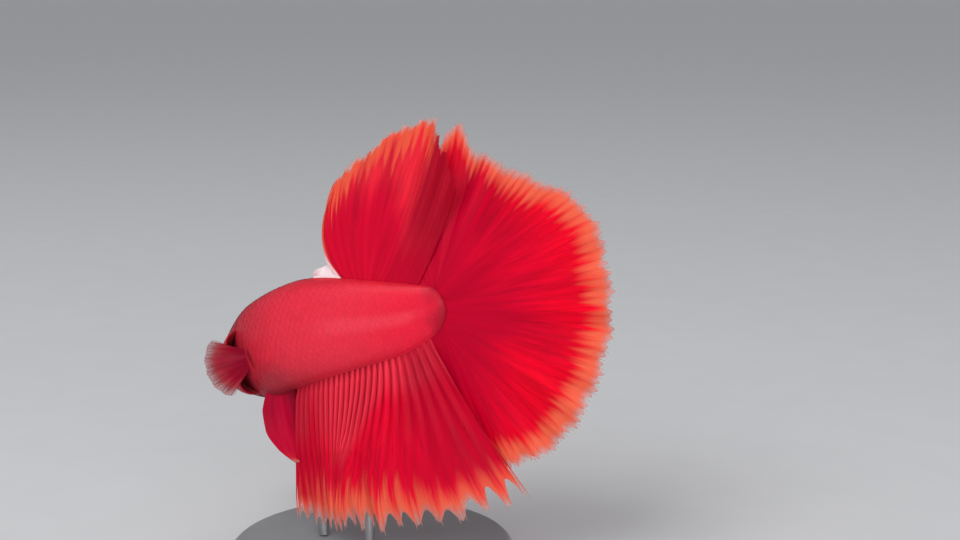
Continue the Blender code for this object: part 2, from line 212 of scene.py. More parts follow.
def head_surface(station, around, lift=0.0):
    """Points of the head's outer face: the plain head, its relief, and the cover's flare, which grows with
    (distance from the hinge)^1.2."""
    stands, hinge, rim, flare = cover_at(around)
    v = np.clip((station - hinge) / (rim - hinge), 0, None)
    out = stands * (COVER_STEP * smooth(v, 0, 0.15) + COVER_RISE * v + flare * v**1.2)
    tip = np.sqrt(1 - ((SNOUT_ROUND - station) / (SNOUT_ROUND - SNOUT_TIP)).clip(0, 1) ** 2)
    blunt = smooth(station, SNOUT_TIP, 0.004)
    out = out + (head_relief(station, around) + lift - COAT) * blunt
    return on_body(station, around, out, tip, tip)


COLUMNS = 256
HEAD_ROWS, RIM_ROWS, INNER_ROWS, SHOULDER_ROWS, TRUNK_ROWS, END_ROWS = 130, 6, 16, 18, 96, 10
TRUNK_END = 0.985
TAIL_CAP = 0.030  # how far the hide runs on over the tail fin's root
HEAD_MAP, TRUNK_MAP = 0.4, 0.55  # heights on the hide's flat map where the head ends and the trunk starts


def unwrap(station, around):
    """The hide's own flat map: once round the body is 0 to 1 across, and the map's height follows the
    station, with the head up to its gill rim below HEAD_MAP and the trunk behind the shoulder above
    TRUNK_MAP."""
    station, around = np.broadcast_arrays(station, around)
    rim = cover_at(around)[2]
    head = HEAD_MAP * (station - SNOUT_TIP) / (rim - SNOUT_TIP)
    trunk = TRUNK_MAP + (1 - TRUNK_MAP) * (station - SHOULDER) / (1 + TAIL_CAP - SHOULDER)
    v = np.where(station < rim, head, np.where(station < SHOULDER, 0.5, trunk))
    return np.stack([(around / (2 * math.pi)) % 1, v], -1)


def painted_fin_shadow(station, around):
    """A painted shadow on the hide just behind a pectoral fin's root, which the root casts; it narrows
    downwards.
    """
    side = np.degrees(np.arcsin(np.sin(around)))
    fold = bump(station, 0.352 - 0.0003 * side, 0.003 + 0.006 * smooth(side, -30, -4))
    return 0.75 * fold * smooth(side, -32, -14) * smooth(side, 10, -4)


def hide_rings():
    """All rings of the hide, (rows, COLUMNS), as points, map heights, stations and a gill mark: how deep in
    the gills, and on the trunk the painted shadow behind each pectoral fin's root.
    Where no cover stands, the rings that turn round its rim lie side by side."""
    around = np.linspace(0, 2 * math.pi, COLUMNS, endpoint=False)[None, :]
    stands, hinge, rim, flare = cover_at(around)
    flat = 1 - stands
    turned = 0.004 * flat
    chamber = rim + 0.012 * flat - stands * (rim - hinge - 0.03)
    parts = []

    def shares(count):
        return np.linspace(0, 1, count + 1)[1:, None]

    def add(points, v, station, gill):
        shape = points.shape[:2]
        parts.append((points, *(np.broadcast_to(x, shape) for x in (v, station, gill))))

    # The head, from the snout to the cover's rim, with rows closer at the snout.
    t = shares(HEAD_ROWS) ** 1.35
    station = SNOUT_TIP + (rim - SNOUT_TIP) * t
    add(head_surface(station, around), HEAD_MAP * t, station, 0)
    # Round the thickness of the rim.
    edge = stands * (COVER_STEP + COVER_RISE + flare) - COAT
    t = shares(RIM_ROWS + 1)[:-1]
    turn = math.pi * t
    station = rim + stands * 0.5 * COVER_EDGE / BODY_LENGTH * np.sin(turn) + turned * t
    out = edge - stands * COVER_EDGE * (1 - np.cos(turn)) / 2
    add(on_body(station, around, out), HEAD_MAP + 0.02 * t, station, 0)
    # Back inside the cover to the floor of the gill chamber.
    t = np.linspace(0, 1, INNER_ROWS)[:, None]
    station = rim + turned + (chamber - rim - turned) * t
    back = edge - stands * COVER_EDGE
    floor = -stands * CHAMBER_DEPTH - COAT
    out = back + (floor - back) * smooth(t, 0, 1.0)
    add(on_body(station, around, out), HEAD_MAP + 0.02 + 0.06 * t, station, stands * smooth(t, 0.05, 0.6))
    # Out again over the shoulder.
    t = shares(SHOULDER_ROWS)
    station = chamber + (SHOULDER - chamber) * t
    out = -COAT - stands * CHAMBER_DEPTH * smooth(station, 0.302, np.minimum(chamber, 0.29))
    gill = stands * smooth(station, 0.315, 0.285)
    add(on_body(station, around, out), HEAD_MAP + 0.08 + 0.07 * t, station, gill)
    # The trunk and tail stalk, with a low ridge along the roots of the fins above and below.
    t = shares(TRUNK_ROWS)
    station = SHOULDER + (TRUNK_END - SHOULDER) * t
    top = bump(np.sin(around), 1, 0.02) * smooth(station, 0.58, 0.64) * smooth(station, 0.95, 0.9)
    under = bump(np.sin(around), -1, 0.02) * smooth(station, 0.40, 0.45)
    out = 0.08 * MM * (top + 2 * under) - COAT
    # Painted shadow: on the trunk the gill mark holds the shadow behind each pectoral fin's root.
    add(on_body(station, around, out), unwrap(station, around)[..., 1], station, painted_fin_shadow(station, around))
    # The rounded end over the tail fin's root, which reaches furthest along the flanks.
    t = shares(END_ROWS)
    end = TRUNK_END + 0.016 + (TAIL_CAP - 0.001) * np.cos(around) ** 2
    station = TRUNK_END + (end - TRUNK_END) * np.sin(t * math.pi / 2)
    narrow = np.cos(t * math.pi / 2 * 0.98)
    points = on_body(station, around, -COAT * narrow, narrow, 1 - 0.1 * t**2)
    add(points, unwrap(station, around)[..., 1], station, 0)
    return [np.concatenate(column) for column in zip(*parts)]


def lay_mesh(name, points, faces, corner_uv=None, **marks):
    """A smooth mesh from whole arrays. faces is a list of index arrays, each with its own number of
    corners; corner_uv gives the OFBake map corner by corner in the same order; marks are numbers kept on
    the points."""
    points = np.asarray(points, np.float32).reshape(-1, 3)
    sizes = np.concatenate([np.full(len(block), block.shape[1]) for block in faces])
    corners = np.concatenate([block.ravel() for block in faces])
    mesh = bpy.data.meshes.new(name)
    mesh.vertices.add(len(points))
    mesh.vertices.foreach_set("co", points.ravel())
    mesh.loops.add(len(corners))
    mesh.loops.foreach_set("vertex_index", corners.astype(np.int32))
    mesh.polygons.add(len(sizes))
    mesh.polygons.foreach_set("loop_start", (np.cumsum(sizes) - sizes).astype(np.int32))
    mesh.update(calc_edges=True)
    if corner_uv is not None:
        layer = mesh.uv_layers.new(name="OFBake")
        layer.data.foreach_set("uv", np.asarray(corner_uv, np.float32).ravel())
    for mark, values in marks.items():
        layer = mesh.attributes.new(mark, "FLOAT", "POINT")
        layer.data.foreach_set("value", np.ravel(values).astype(np.float32))
    mesh.shade_smooth()
    obj = bpy.data.objects.new(name, mesh)
    bpy.context.scene.collection.objects.link(obj)
    return obj


def grid_quads(grid):
    """What a grid holds at the four corners of each of its cells, in turn."""
    return np.stack([grid[:-1, :-1], grid[:-1, 1:], grid[1:, 1:], grid[1:, :-1]], -1).reshape(-1, 4)


def closed(grid):
    """A grid with its first column repeated as its last."""
    return np.concatenate([grid, grid[:, :1]], 1)


def tube_quads(rows, columns):
    """Quads that join rings of points, each ring with as many points as there are columns."""
    return grid_quads(closed(np.arange(rows * columns).reshape(rows, columns)))[:, ::-1]


def fans(rows, columns):
    """Triangles that close a tube's first and last rings, each to one more point that follows the rings'."""
    k = np.arange(columns)
    after = (k + 1) % columns
    count = rows * columns
    last = count - columns
    first = np.stack([k, after, np.full(columns, count)], -1)
    return first, np.stack([last + after, last + k, np.full(columns, count + 1)], -1)


def make_hide():
    """The hide: its rings joined by quads, and a fan to one point at the snout and at the tail's end."""
    points, v, station, gill = hide_rings()
    rows = len(points)
    share = np.arange(COLUMNS + 1) / COLUMNS
    uv = np.stack([grid_quads(share * np.ones((rows, 1))), grid_quads(closed(v))], -1)[:, ::-1]
    edges = np.stack([share[:-1], share[1:], share[:-1] + 0.5 / COLUMNS], -1)
    snout_uv = np.stack([edges, np.zeros_like(edges)], -1)
    tail_uv = np.stack([edges[:, [1, 0, 2]], np.ones_like(edges)], -1)
    rise = np.tile(np.sin(2 * math.pi * share[:-1]), rows)
    return lay_mesh(
        "hide",
        np.concatenate([points.reshape(-1, 3), points[[0, -1]].mean(1)]),
        [tube_quads(rows, COLUMNS), *fans(rows, COLUMNS)],
        np.concatenate([block.reshape(-1, 2) for block in (uv, snout_uv, tail_uv)]),
        station=np.append(station, [0, 1]),
        rise=np.append(rise, [0, 0]),
        gill=np.append(gill, [0, 0]),
    )


class Field:
    """What a shader node gives out. Sums with a number or another field add a Math node to its tree."""

    def __init__(self, socket):
        self.socket = socket
        self.tree = socket.id_data

    def math(self, operation, *others):
        return field(self.tree, "ShaderNodeMath", self, *others, operation=operation)

    def __add__(self, other):
        return self.math("ADD", other)

    def __sub__(self, other):
        return self.math("SUBTRACT", other)

    def __rsub__(self, other):
        return field(self.tree, "ShaderNodeMath", other, self, operation="SUBTRACT")

    def __mul__(self, other):
        return self.math("MULTIPLY", other)

    def __truediv__(self, other):
        return self.math("DIVIDE", other)

    def __pow__(self, other):
        return self.math("POWER", other)


def feed(sockets, values):
    """Links each field to its input socket, found by name or number, or sets the value there; None leaves
    the socket as it is."""
    for key, value in values.items():
        socket = sockets[key]
        if isinstance(value, Field):
            value.tree.links.new(value.socket, socket)
        elif value is not None:
            socket.default_value = (*value, 1) if socket.type == "RGBA" else value


def node(tree, kind, *values, inputs=None, **settings):
    """A new shader node with its settings, fed with values in order and with inputs by name or number."""
    made = tree.nodes.new(kind)
    for key, value in settings.items():
        setattr(made, key, value)
    feed(made.inputs, {**dict(enumerate(values)), **(inputs or {})})
    return made


def field(tree, kind, *values, output=0, **settings):
    """One output of a new shader node."""
    return Field(node(tree, kind, *values, **settings).outputs[output])


def new_material(name, **values):
    """A material with one Principled shader whose plain sockets are set by name."""
    material = bpy.data.materials.new(name)
    material.use_nodes = True
    shader = material.node_tree.nodes["Principled BSDF"]
    feed(shader.inputs, {socket.replace("_", " "): value for socket, value in values.items()})
    return material, material.node_tree, shader


def mark_of(tree, name):
    """A number kept on the mesh's points, or 0 where the mesh has none."""
    return field(tree, "ShaderNodeAttribute", output="Fac", attribute_name=name)


def place_of(tree):
    """The point's own place on its object."""
    return field(tree, "ShaderNodeTexCoord", output="Object")


def stepped(value, low, high):
    """A smooth step of value: 0 at low, 1 at high."""
    return field(value.tree, "ShaderNodeMapRange", value, low, high, interpolation_type="SMOOTHSTEP")


def mixed(share, first, second):
    """Two colours mixed by share."""
    colours = {6: first, 7: second}
    return field(share.tree, "ShaderNodeMix", share, inputs=colours, output=2, data_type="RGBA")


def dimmed(colour, tone):
    """A colour times a grey of this tone."""
    colours = {6: colour, 7: field(colour.tree, "ShaderNodeCombineColor", tone, tone, tone)}
    settings = {"data_type": "RGBA", "blend_type": "MULTIPLY"}
    return field(colour.tree, "ShaderNodeMix", 1.0, inputs=colours, output=2, **settings)


def noise(vector, scale, detail=3.0, roughness=0.5):
    """Cloudy noise from 0 to 1 over a vector."""
    inputs = {"Scale": scale, "Detail": detail, "Roughness": roughness}
    settings = {"output": "Fac", "noise_dimensions": "3D"}
    return field(vector.tree, "ShaderNodeTexNoise", vector, inputs=inputs, **settings)


def bumped(height, strength, distance):
    """The normal of a face that is raised by height times distance."""
    inputs = {"Height": height}
    return field(height.tree, "ShaderNodeBump", strength, distance, inputs=inputs, output="Normal")


def new_group(name, inputs, outputs):
    """An empty node group. inputs and outputs say of what kind each named socket is: Color or Float."""
    group = bpy.data.node_groups.new(name, "ShaderNodeTree")
    for in_out, sockets in (("INPUT", inputs), ("OUTPUT", outputs)):
        for socket, kind in sockets.items():
            group.interface.new_socket(socket, in_out=in_out, socket_type="NodeSocket" + kind)
    return group


HIDE_REDS = {
    # Painted shade: the head is dulled as it lies in shade.
    "head": (0.44, 0.016, 0.034),
    "flank": (0.90, 0.029, 0.064),
    "stalk": (0.96, 0.008, 0.044),
    # Painted shade under the front of the belly.
    "belly": (0.35, 0.022, 0.040),
    # Painted highlight: a soft sheen along the middle of the rear flank.
    "painted_sheen": (1.0, 0.085, 0.125),
    "crest": (0.60, 0.008, 0.022),
    "tail root": (0.46, 0.0, 0.022),
    "scale edge": (0.50, 0.010, 0.026),
    "grain": (0.95, 0.22, 0.20),
    # Dark in the gills, and the painted shadow behind each pectoral fin's root.
    "gill": (0.24, 0.012, 0.022),
}


def hide_colours():
    """A node group that gives the fish's colours from marks on its mesh: pinkish red on the flank, brighter
    to the tail, dark in the gills, mottled all over; with painted shade dulling the head and the belly's
    front, a painted sheen along the flank and a painted shadow behind each pectoral fin's root."""
    group = new_group("hide_colours", {}, {"Colour": "Color", "Height": "Float", "Roughness": "Float"})
    place = place_of(group)
    blotch, grain = noise(place, 260), noise(place, 5200, 2)
    flank = mark_of(group, "rise")
    station = mark_of(group, "station") + blotch * 0.12
    rise = flank + blotch * 0.5
    # Painted shade: dull red about the head, brightening back to the flank.
    colour = mixed(stepped(station, 0.24, 0.60), HIDE_REDS["head"], HIDE_REDS["flank"])
    colour = mixed(stepped(station, 0.72, 1.03), colour, HIDE_REDS["stalk"])
    # Painted shade: darker under the belly's front half.
    belly = stepped(rise, 0.2, -0.7) * stepped(station, 0.68, 0.42) * 0.9
    colour = mixed(belly, colour, HIDE_REDS["belly"])
    # Painted highlight: a pale sheen band along the middle of the rear flank.
    painted_sheen = stepped(flank, -0.25, -0.02) * stepped(flank, 0.24, 0.04)
    painted_sheen = painted_sheen * stepped(station, 0.62, 0.80) * stepped(station, 1.04, 0.96) * 0.4
    colour = mixed(painted_sheen, colour, HIDE_REDS["painted_sheen"])
    colour = mixed(stepped(rise, 1.0, 1.3) * 0.6, colour, HIDE_REDS["crest"])
    colour = mixed(stepped(station, 1.015, 1.085), colour, HIDE_REDS["tail root"])
    colour = dimmed(colour, mark_of(group, "tone") * 0.05 + 0.79)
    colour = mixed(stepped(mark_of(group, "edge"), 0.72, 1.0) * 0.18, colour, HIDE_REDS["scale edge"])
    colour = mixed(stepped(grain, 0.45, 0.8) * 0.07, colour, HIDE_REDS["grain"])
    # Dark in the gills; the gill mark also brings in the painted shadow behind each pectoral fin's root.
    colour = mixed(stepped(mark_of(group, "gill"), 0.1, 0.7), colour, HIDE_REDS["gill"])
    results = {"Colour": colour, "Height": grain * 0.3, "Roughness": blotch * 0.2 + 0.34}
    node(group, "NodeGroupOutput", inputs=results)
    return group


def use_group(tree, group, shader, bump_distance):
    """Places a group in a material and feeds the shader's colour, roughness and bump, and alpha if given."""
    made = node(tree, "ShaderNodeGroup", node_tree=group)
    given = {name: Field(socket) for name, socket in made.outputs.items()}
    feed(shader.inputs, {
        "Base Color": given["Colour"],
        "Roughness": given["Roughness"],
        "Normal": bumped(given["Height"], 1.0, bump_distance),
        "Alpha": given.get("Alpha"),
    })
    return made


hide = make_hide()
markings_and_painted_light = hide_colours()
hide_material, tree, shader = new_material(
    "hide", Specular_IOR_Level=0.15, Subsurface_Weight=0.25, Subsurface_Radius=(1.0, 0.2, 0.2),
    Subsurface_Scale=0.8 * MM,
)
use_group(tree, markings_and_painted_light, shader, 0.04 * MM)
hide.data.materials.append(hide_material)
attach(hide, "root")
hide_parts("head", "lower_jaw", "gill_cover_left", "gill_cover_right", "trunk", "tail_stalk")

# ---- Scales -------------------------------------------------------------------------------------
# Round-edged plates of clear horn over red skin, rooted at the front and overlapping towards the tail like
# shingles. Each is a closed plate of forty faces, laid on the hide in staggered rows from the brow to the
# tail root; they shrink with the body behind and sink under it at the snout, eyes, gill hinges and rims.
SCALE_ROWS = 44  # rows round the body
SCALE_STATIONS = 39  # scales along one row behind the shoulder
SCALE_LENGTH = 1.55  # length over the spacing in its row
SCALE_WIDTH = 1.08  # half width over the spacing between rows
SCALE_THICKNESS = 0.045 * MM
SCALES_START, SCALES_END = 0.095, 0.975  # stations of the first and last roots
SCALE_SINK = 0.13 * MM  # how deep a scale lies where it doesn't show
BARE_RIDGE = 0.985  # sine of the direction past which the back and the belly have none under the fins
PLATE_ROWS, PLATE_COLUMNS = 5, 6


def perimeter_at(station):
    """Ramanujan's first approximation of an oval section's perimeter, from its half height and width."""
    high = (back_at(station) - belly_at(station)) / 2 * BODY_LENGTH
    wide = half_width_at(station) * BODY_LENGTH
    return math.pi * (3 * (high + wide) - np.sqrt((3 * high + wide) * (high + 3 * wide)))


def even_around(share):
    """The direction round the body at an even share of the mid-body section's perimeter."""
    angle = np.linspace(0, 2 * math.pi, 721)
    ring = on_body(0.5, angle)
    length = np.concatenate([[0], np.cumsum(np.linalg.norm(np.diff(ring, axis=0), axis=1))])
    whole = np.floor(share)
    return np.interp(share - whole, length / length[-1], angle) + 2 * math.pi * whole


def scale_roots():
    """Station, direction, share round the body and spacing of each scale's root, in staggered rows whose
    spacing along the body follows the perimeter. Gill rims and the ridges under the fins stay bare."""
    fine = np.linspace(SCALES_START, 1.0, 2000)
    pace = 1 / perimeter_at(fine)
    count = np.concatenate([[0], np.cumsum((pace[1:] + pace[:-1]) / 2 * np.diff(fine))])
    behind = count[-1] - np.interp(SHOULDER, fine, count)
    count = count / behind * SCALE_STATIONS * 2
    index = np.arange(int(count[-1]))
    station = np.interp(index, count, fine)
    spacing = 2 * np.gradient(station)
    row, column = np.meshgrid(np.arange(SCALE_ROWS // 2), index)
    share = (2 * row + column % 2 + 0.5) / SCALE_ROWS
    roots = np.broadcast_arrays(station[:, None], share, spacing[:, None])
    station, share, spacing = (np.ravel(x) for x in roots)
    around = even_around(share)
    stands, _, rim, _ = cover_at(around)
    on_cover = (stands > 0.03) & (station + 1.8 * spacing > rim) & (station < COVER_END)
    on_back = (np.sin(around) > BARE_RIDGE) & (station > 0.6)
    on_belly = (np.sin(around) < -BARE_RIDGE) & (station > 0.42)
    keep = ~on_cover & ~on_back & ~on_belly & (station < SCALES_END)
    return [x[keep] for x in (station, around, share, spacing)]


def scale_bed(station, around, lift, behind):
    """Points over the hide: the head's outer face before the gill rim, the plain trunk behind it and for
    all of a scale that is rooted behind the gills."""
    rim = cover_at(around)[2]
    head = head_surface(np.minimum(station, rim), around, lift + COAT)
    trunk = on_body(station, around, lift)
    return np.where(((station < rim) & ~behind)[..., None], head, trunk)


def scaled(station, around):
    """How fully the scales stand off the hide: 1 on the flanks, falling to 0 on the snout and the lower
    cheeks, round the eyes, over the gill covers' hinges and at their rims."""
    stands, hinge, rim, _ = cover_at(around)
    full = np.maximum(smooth(station, 0.15, 0.19), smooth(np.sin(around), 0.2, 0.5))
    full = full * smooth(station, 0.094, 0.13)
    for side in (1, -1):
        deep, away = from_eye(on_body(station, around), side)
        full = full * np.maximum(smooth(away, 2.6 * MM, 3.6 * MM), smooth(deep, -1.0 * MM, -1.6 * MM))
    flat = smooth(stands, 0.03, 0)
    off_rim = np.maximum(smooth(rim - station, 0.008, 0.03), smooth(station, COVER_END, 0.34))
    off_hinge = smooth(np.abs(station - hinge), 0.002, 0.014)
    return full * np.maximum(flat, off_rim) * np.maximum(flat, off_hinge)


def make_scales():
    """All scales as one mesh. A plate's points are (t, j): t from root to free edge, j across it from -1 to
    1. They lie at station + spacing * length * t * sqrt(1 - 0.72 j^2), and rise off the hide with t."""
    station, around, share, spacing = scale_roots()
    random = np.random.default_rng(7)
    t, j = np.meshgrid(np.linspace(0, 1, PLATE_ROWS), np.linspace(-1, 1, PLATE_COLUMNS), indexing="ij")
    t, j = t.ravel(), j.ravel()
    jitter = 1 + 0.05 * random.standard_normal((len(station), 1))
    along = t * np.sqrt(1 - 0.72 * j**2) * SCALE_LENGTH * jitter - 0.45
    at = station[:, None] + along * spacing[:, None]
    where = even_around(share[:, None] + j * (0.72 + 0.28 * t) * SCALE_WIDTH / SCALE_ROWS)
    small = np.clip(spacing * BODY_LENGTH / (1.15 * MM), 0.45, 1.2)[:, None]
    small = small * (1 - 0.85 * smooth(at, 0.90, 0.99))
    full = scaled(at, where)
    rise = (0.02 + 0.09 * t * (1 - 0.6 * j**4)) * MM * small * full - SCALE_SINK * (1 - full) - COAT
    behind = (station > COVER_END)[:, None]
    there = cover_at(where)
    over_rim = ((at > there[2] - 0.006) & (there[0] > 0.015)).any(1)
    whole = (full.max(1) > 0.3) & (behind[:, 0] | ~over_rim)
    station, around, behind = station[whole], around[whole], behind[whole]
    at, where, rise, full = at[whole], where[whole], rise[whole], full[whole]
    index = np.arange(PLATE_ROWS * PLATE_COLUMNS).reshape(PLATE_ROWS, PLATE_COLUMNS)
    inner = index[1:-1, 1:-1].ravel()

    def both(values, lower=0.0):
        """Values at a plate's points, then at the inner points of its underside; the rim is shared."""
        return np.concatenate([values, values[:, inner] - lower], 1)

    points = scale_bed(both(at), both(where), both(rise, SCALE_THICKNESS), behind)
    count, size = points.shape[:2]
    bottom = index.copy()
    bottom[1:-1, 1:-1] = np.arange(index.size, size).reshape(bottom[1:-1, 1:-1].shape)
    plate = np.concatenate([grid_quads(index)[:, ::-1], grid_quads(bottom)])
    faces = (plate + np.arange(count)[:, None, None] * size).reshape(-1, 4)
    local = both(np.stack([j, t])) * [[0.0015], [0.003]]
    uv = (unwrap(station, around)[:, None] + local.T).reshape(-1, 2)
    marks = {
        "station": both(at),
        "rise": np.sin(both(where)),
        "edge": both(np.maximum(t**2, np.abs(j) ** 3) * full),
        "tone": random.random((count, 1)) * np.ones((1, size)),
        # Painted shadow: the gill mark also holds the shadow behind each pectoral fin's root.
        "gill": painted_fin_shadow(both(at), both(where)),
    }
    coat = lay_mesh("scales", points, [faces], uv[faces.ravel()], **marks)
    ends = np.empty(2 * len(coat.data.edges), np.int32)
    coat.data.edges.foreach_get("vertices", ends)
    crisp = np.isin(ends.reshape(-1, 2) % size, np.setdiff1d(index, inner)).all(1)
    coat.data.attributes.new("sharp_edge", "BOOLEAN", "EDGE").data.foreach_set("value", crisp)
    return coat


scales = make_scales()
scale_material, tree, shader = new_material(
    "scales", Specular_IOR_Level=0.15, Subsurface_Weight=0.25, Subsurface_Radius=(1.0, 0.2, 0.2),
    Subsurface_Scale=0.05 * MM, Coat_Weight=0.05, Coat_Roughness=0.25,
)
use_group(tree, markings_and_painted_light, shader, 0.03 * MM)
scales.data.materials.append(scale_material)
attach(scales, "root")

# ---- Eyes ---------------------------------------------------------------------------------------
# A flattened ball set in each socket: a black pupil in a dark red iris with a thin copper ring, under a
# clear wet cornea. It is turned about its outward axis, bulging a little over the pupil.
EYE_RINGS, EYE_SPOKES = 40, 64
CORNEA_BULGE = 0.12 * MM


def make_eye(name, side):
    """A turned shape: at an angle a from its front pole it lies radius * sin(a) from the axis and
    depth * cos(a) along it, with the cornea's bulge over the pupil."""
    centre, out = eye_place(side)
    _, up, _ = axes_at(EYE_STATION)
    ahead = np.cross(up, out)
    a = np.linspace(0, math.pi, EYE_RINGS)[1:-1, None]
    turn = np.linspace(0, 2 * math.pi, EYE_SPOKES, endpoint=False)[None]
    a, turn = np.broadcast_arrays(a, turn)
    front = a < 1.5
    away = EYE_RADIUS * np.sin(a)
    forward = EYE_DEPTH * np.cos(a) + CORNEA_BULGE * bump(away, 0, 0.8 * MM) * front
    spread = np.cos(turn)[..., None] * ahead + np.sin(turn)[..., None] * up
    points = centre + forward[..., None] * out + away[..., None] * spread
    poles = np.stack([centre + out * (EYE_DEPTH + CORNEA_BULGE), centre - out * EYE_DEPTH])
    return lay_mesh(
        name,
        np.concatenate([points.reshape(-1, 3), poles]),
        [tube_quads(*a.shape), *fans(*a.shape)],
        radial=np.append(away / MM + 4 * ~front, [0, 4]),
        spoke=np.append(turn / (2 * math.pi), [0, 0]),
    )


eye_material, tree, shader = new_material(
    "eye", Roughness=0.25, Coat_Weight=1.0, Coat_Roughness=0.03, Specular_IOR_Level=0.5
)
radial, spoke = mark_of(tree, "radial"), mark_of(tree, "spoke")
threads = noise(field(tree, "ShaderNodeCombineXYZ", radial * 2.0, spoke * 60.0), 1.0, 2)
uneven = radial + threads * 0.06
iris = mixed(stepped(threads, 0.35, 0.7), (0.10, 0.006, 0.004), (0.26, 0.030, 0.012))
ball = mixed(stepped(uneven, 0.76, 0.80), (0.003, 0.002, 0.002), (0.55, 0.22, 0.07))
ball = mixed(stepped(uneven, 0.84, 0.98), ball, iris)
ball = mixed(stepped(uneven, 1.30, 1.52), ball, (0.03, 0.003, 0.003))
feed(shader.inputs, {"Base Color": ball})
for side_name, side in (("left", 1), ("right", -1)):
    eye = make_eye(f"eyeball_{side_name}", side)
    eye.data.materials.append(eye_material)
    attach(eye, "root")
    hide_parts(f"eye_{side_name}")

# ---- Tail fin -----------------------------------------------------------------------------------
# A half moon of twenty-three bony rays that each fork twice on their way out, joined by a thin red web
# whose rim is clear and scalloped between the ray tips. Web and rays are two pieces: a closed sheet that
# pleats from ray to ray, and tapered tubes that lie half sunk in it.
FIN_ROOT = 0.7 * MM  # how far a fin's web runs on below its foot, into the body
FIN_FOOT = 0.3 * MM  # how far a fin's foot stands off the body, on its low ridge


def ragged(knots, size, rate):
    """Ray lengths through knots in mm, straying by up to the share size in waves of rate and 2.37 rate."""
    lengths = eased(knots)

    def length(x):
        stray = (np.sin(rate * x + 1) + 0.7 * np.sin(2.37 * rate * x + 2)) / 1.7
        return lengths(x) * (1 + size * stray) * MM

    return length


TAIL_FAN = (134, -124)  # angles of the top and bottom rays over the body's line
TAIL_KNOTS = (
    (-126, 9), (-110, 17), (-94, 21), (-77, 21.9), (-55, 23.5), (-21, 24.1), (-4, 24.9), (20, 25.7),
    (38, 22.5), (52, 20.1), (68, 19.5), (76, 22.4), (80, 21.4), (83, 19.1), (88, 17.5), (94, 16.8),
    (102, 16.2), (134, 9),
)
tail_reach = ragged(TAIL_KNOTS, 0.016, 0.42)
TAIL_PLEATS = 23


def tail_degrees(u):
    """The angle of the ray at a share of the way round the fan."""
    return TAIL_FAN[0] + (TAIL_FAN[1] - TAIL_FAN[0]) * u


def pleats(u, count):
    """A wave of count whole pleats, -1 where u * count is whole: a cosine with a third harmonic that makes
    its crests and troughs, where the rays lie, a little sharper."""
    turn = 2 * math.pi * u * count
    return -(np.cos(turn) + 0.11 * np.cos(3 * turn)) / 1.11


def pleat_depth(reach, v):
    """How far a web's pleats stand to each side: shallow near the root, deeper in the outer third."""
    return (0.16 + 0.5 * smooth(v, 0.5, 1.0)) * (0.04 * MM + 0.016 * np.clip(reach, 0, None))


def tail_web(u, v):
    """The half moon: a ray at an angle over the body's line runs out from the end of the tail stalk, and its
    outer part is swept to the right at the top and the bottom of the fan."""
    forward, up, left = axes_at(1.0)
    degrees = tail_degrees(u)
    angle = np.radians(degrees)
    half_root = (back_at(1) - belly_at(1)) / 2 * BODY_LENGTH
    middle = (back_at(1) + belly_at(1)) / 2 * BODY_LENGTH
    reach = tail_reach(degrees) * v
    along = 0.4 * MM - 0.045 * MM * np.clip(np.abs(degrees) - 80, 0, None) + reach * np.cos(angle)
    rise = middle + half_root * np.sin(np.clip(angle, -math.pi / 2, math.pi / 2)) + reach * np.sin(angle)
    out = np.clip(v, 0, None)
    swept = -4.5 * bump(degrees, 85, 38) * out**1.1 - 3.2 * bump(degrees, -90, 26) * out**0.8
    behind = smooth(degrees, 90, 120)  # the topmost rays pass to the right of the back fin
    swept = swept * (1 - behind) + behind * (-0.3 * smooth(out, 0, 0.15) - 3.4 * out)
    swept = swept + 1.2 * np.sin(angle * 3 + 0.6) * out**1.6 * (1 - behind)
    swept = swept + 0.35 * np.sin(angle * 9 + 1.0) * out**1.4 + 0.25 * np.sin(angle * 17 + 2.0) * out**2
    across = swept * MM + pleats(u, TAIL_PLEATS) * pleat_depth(reach, v)
    return TAIL_ROOT - forward * along[..., None] + up * rise[..., None] + left * across[..., None]


def surface_normal(place, u, v):
    """The unit normal of a fin's sheet: the cross product of its small steps in u and v."""
    small = 1e-4
    step_u = place(u + small, v) - place(u - small, v)
    step_v = place(u, v + small) - place(u, v - small)
    normal = np.cross(step_u, step_v)
    return normal / np.linalg.norm(normal, axis=-1, keepdims=True)


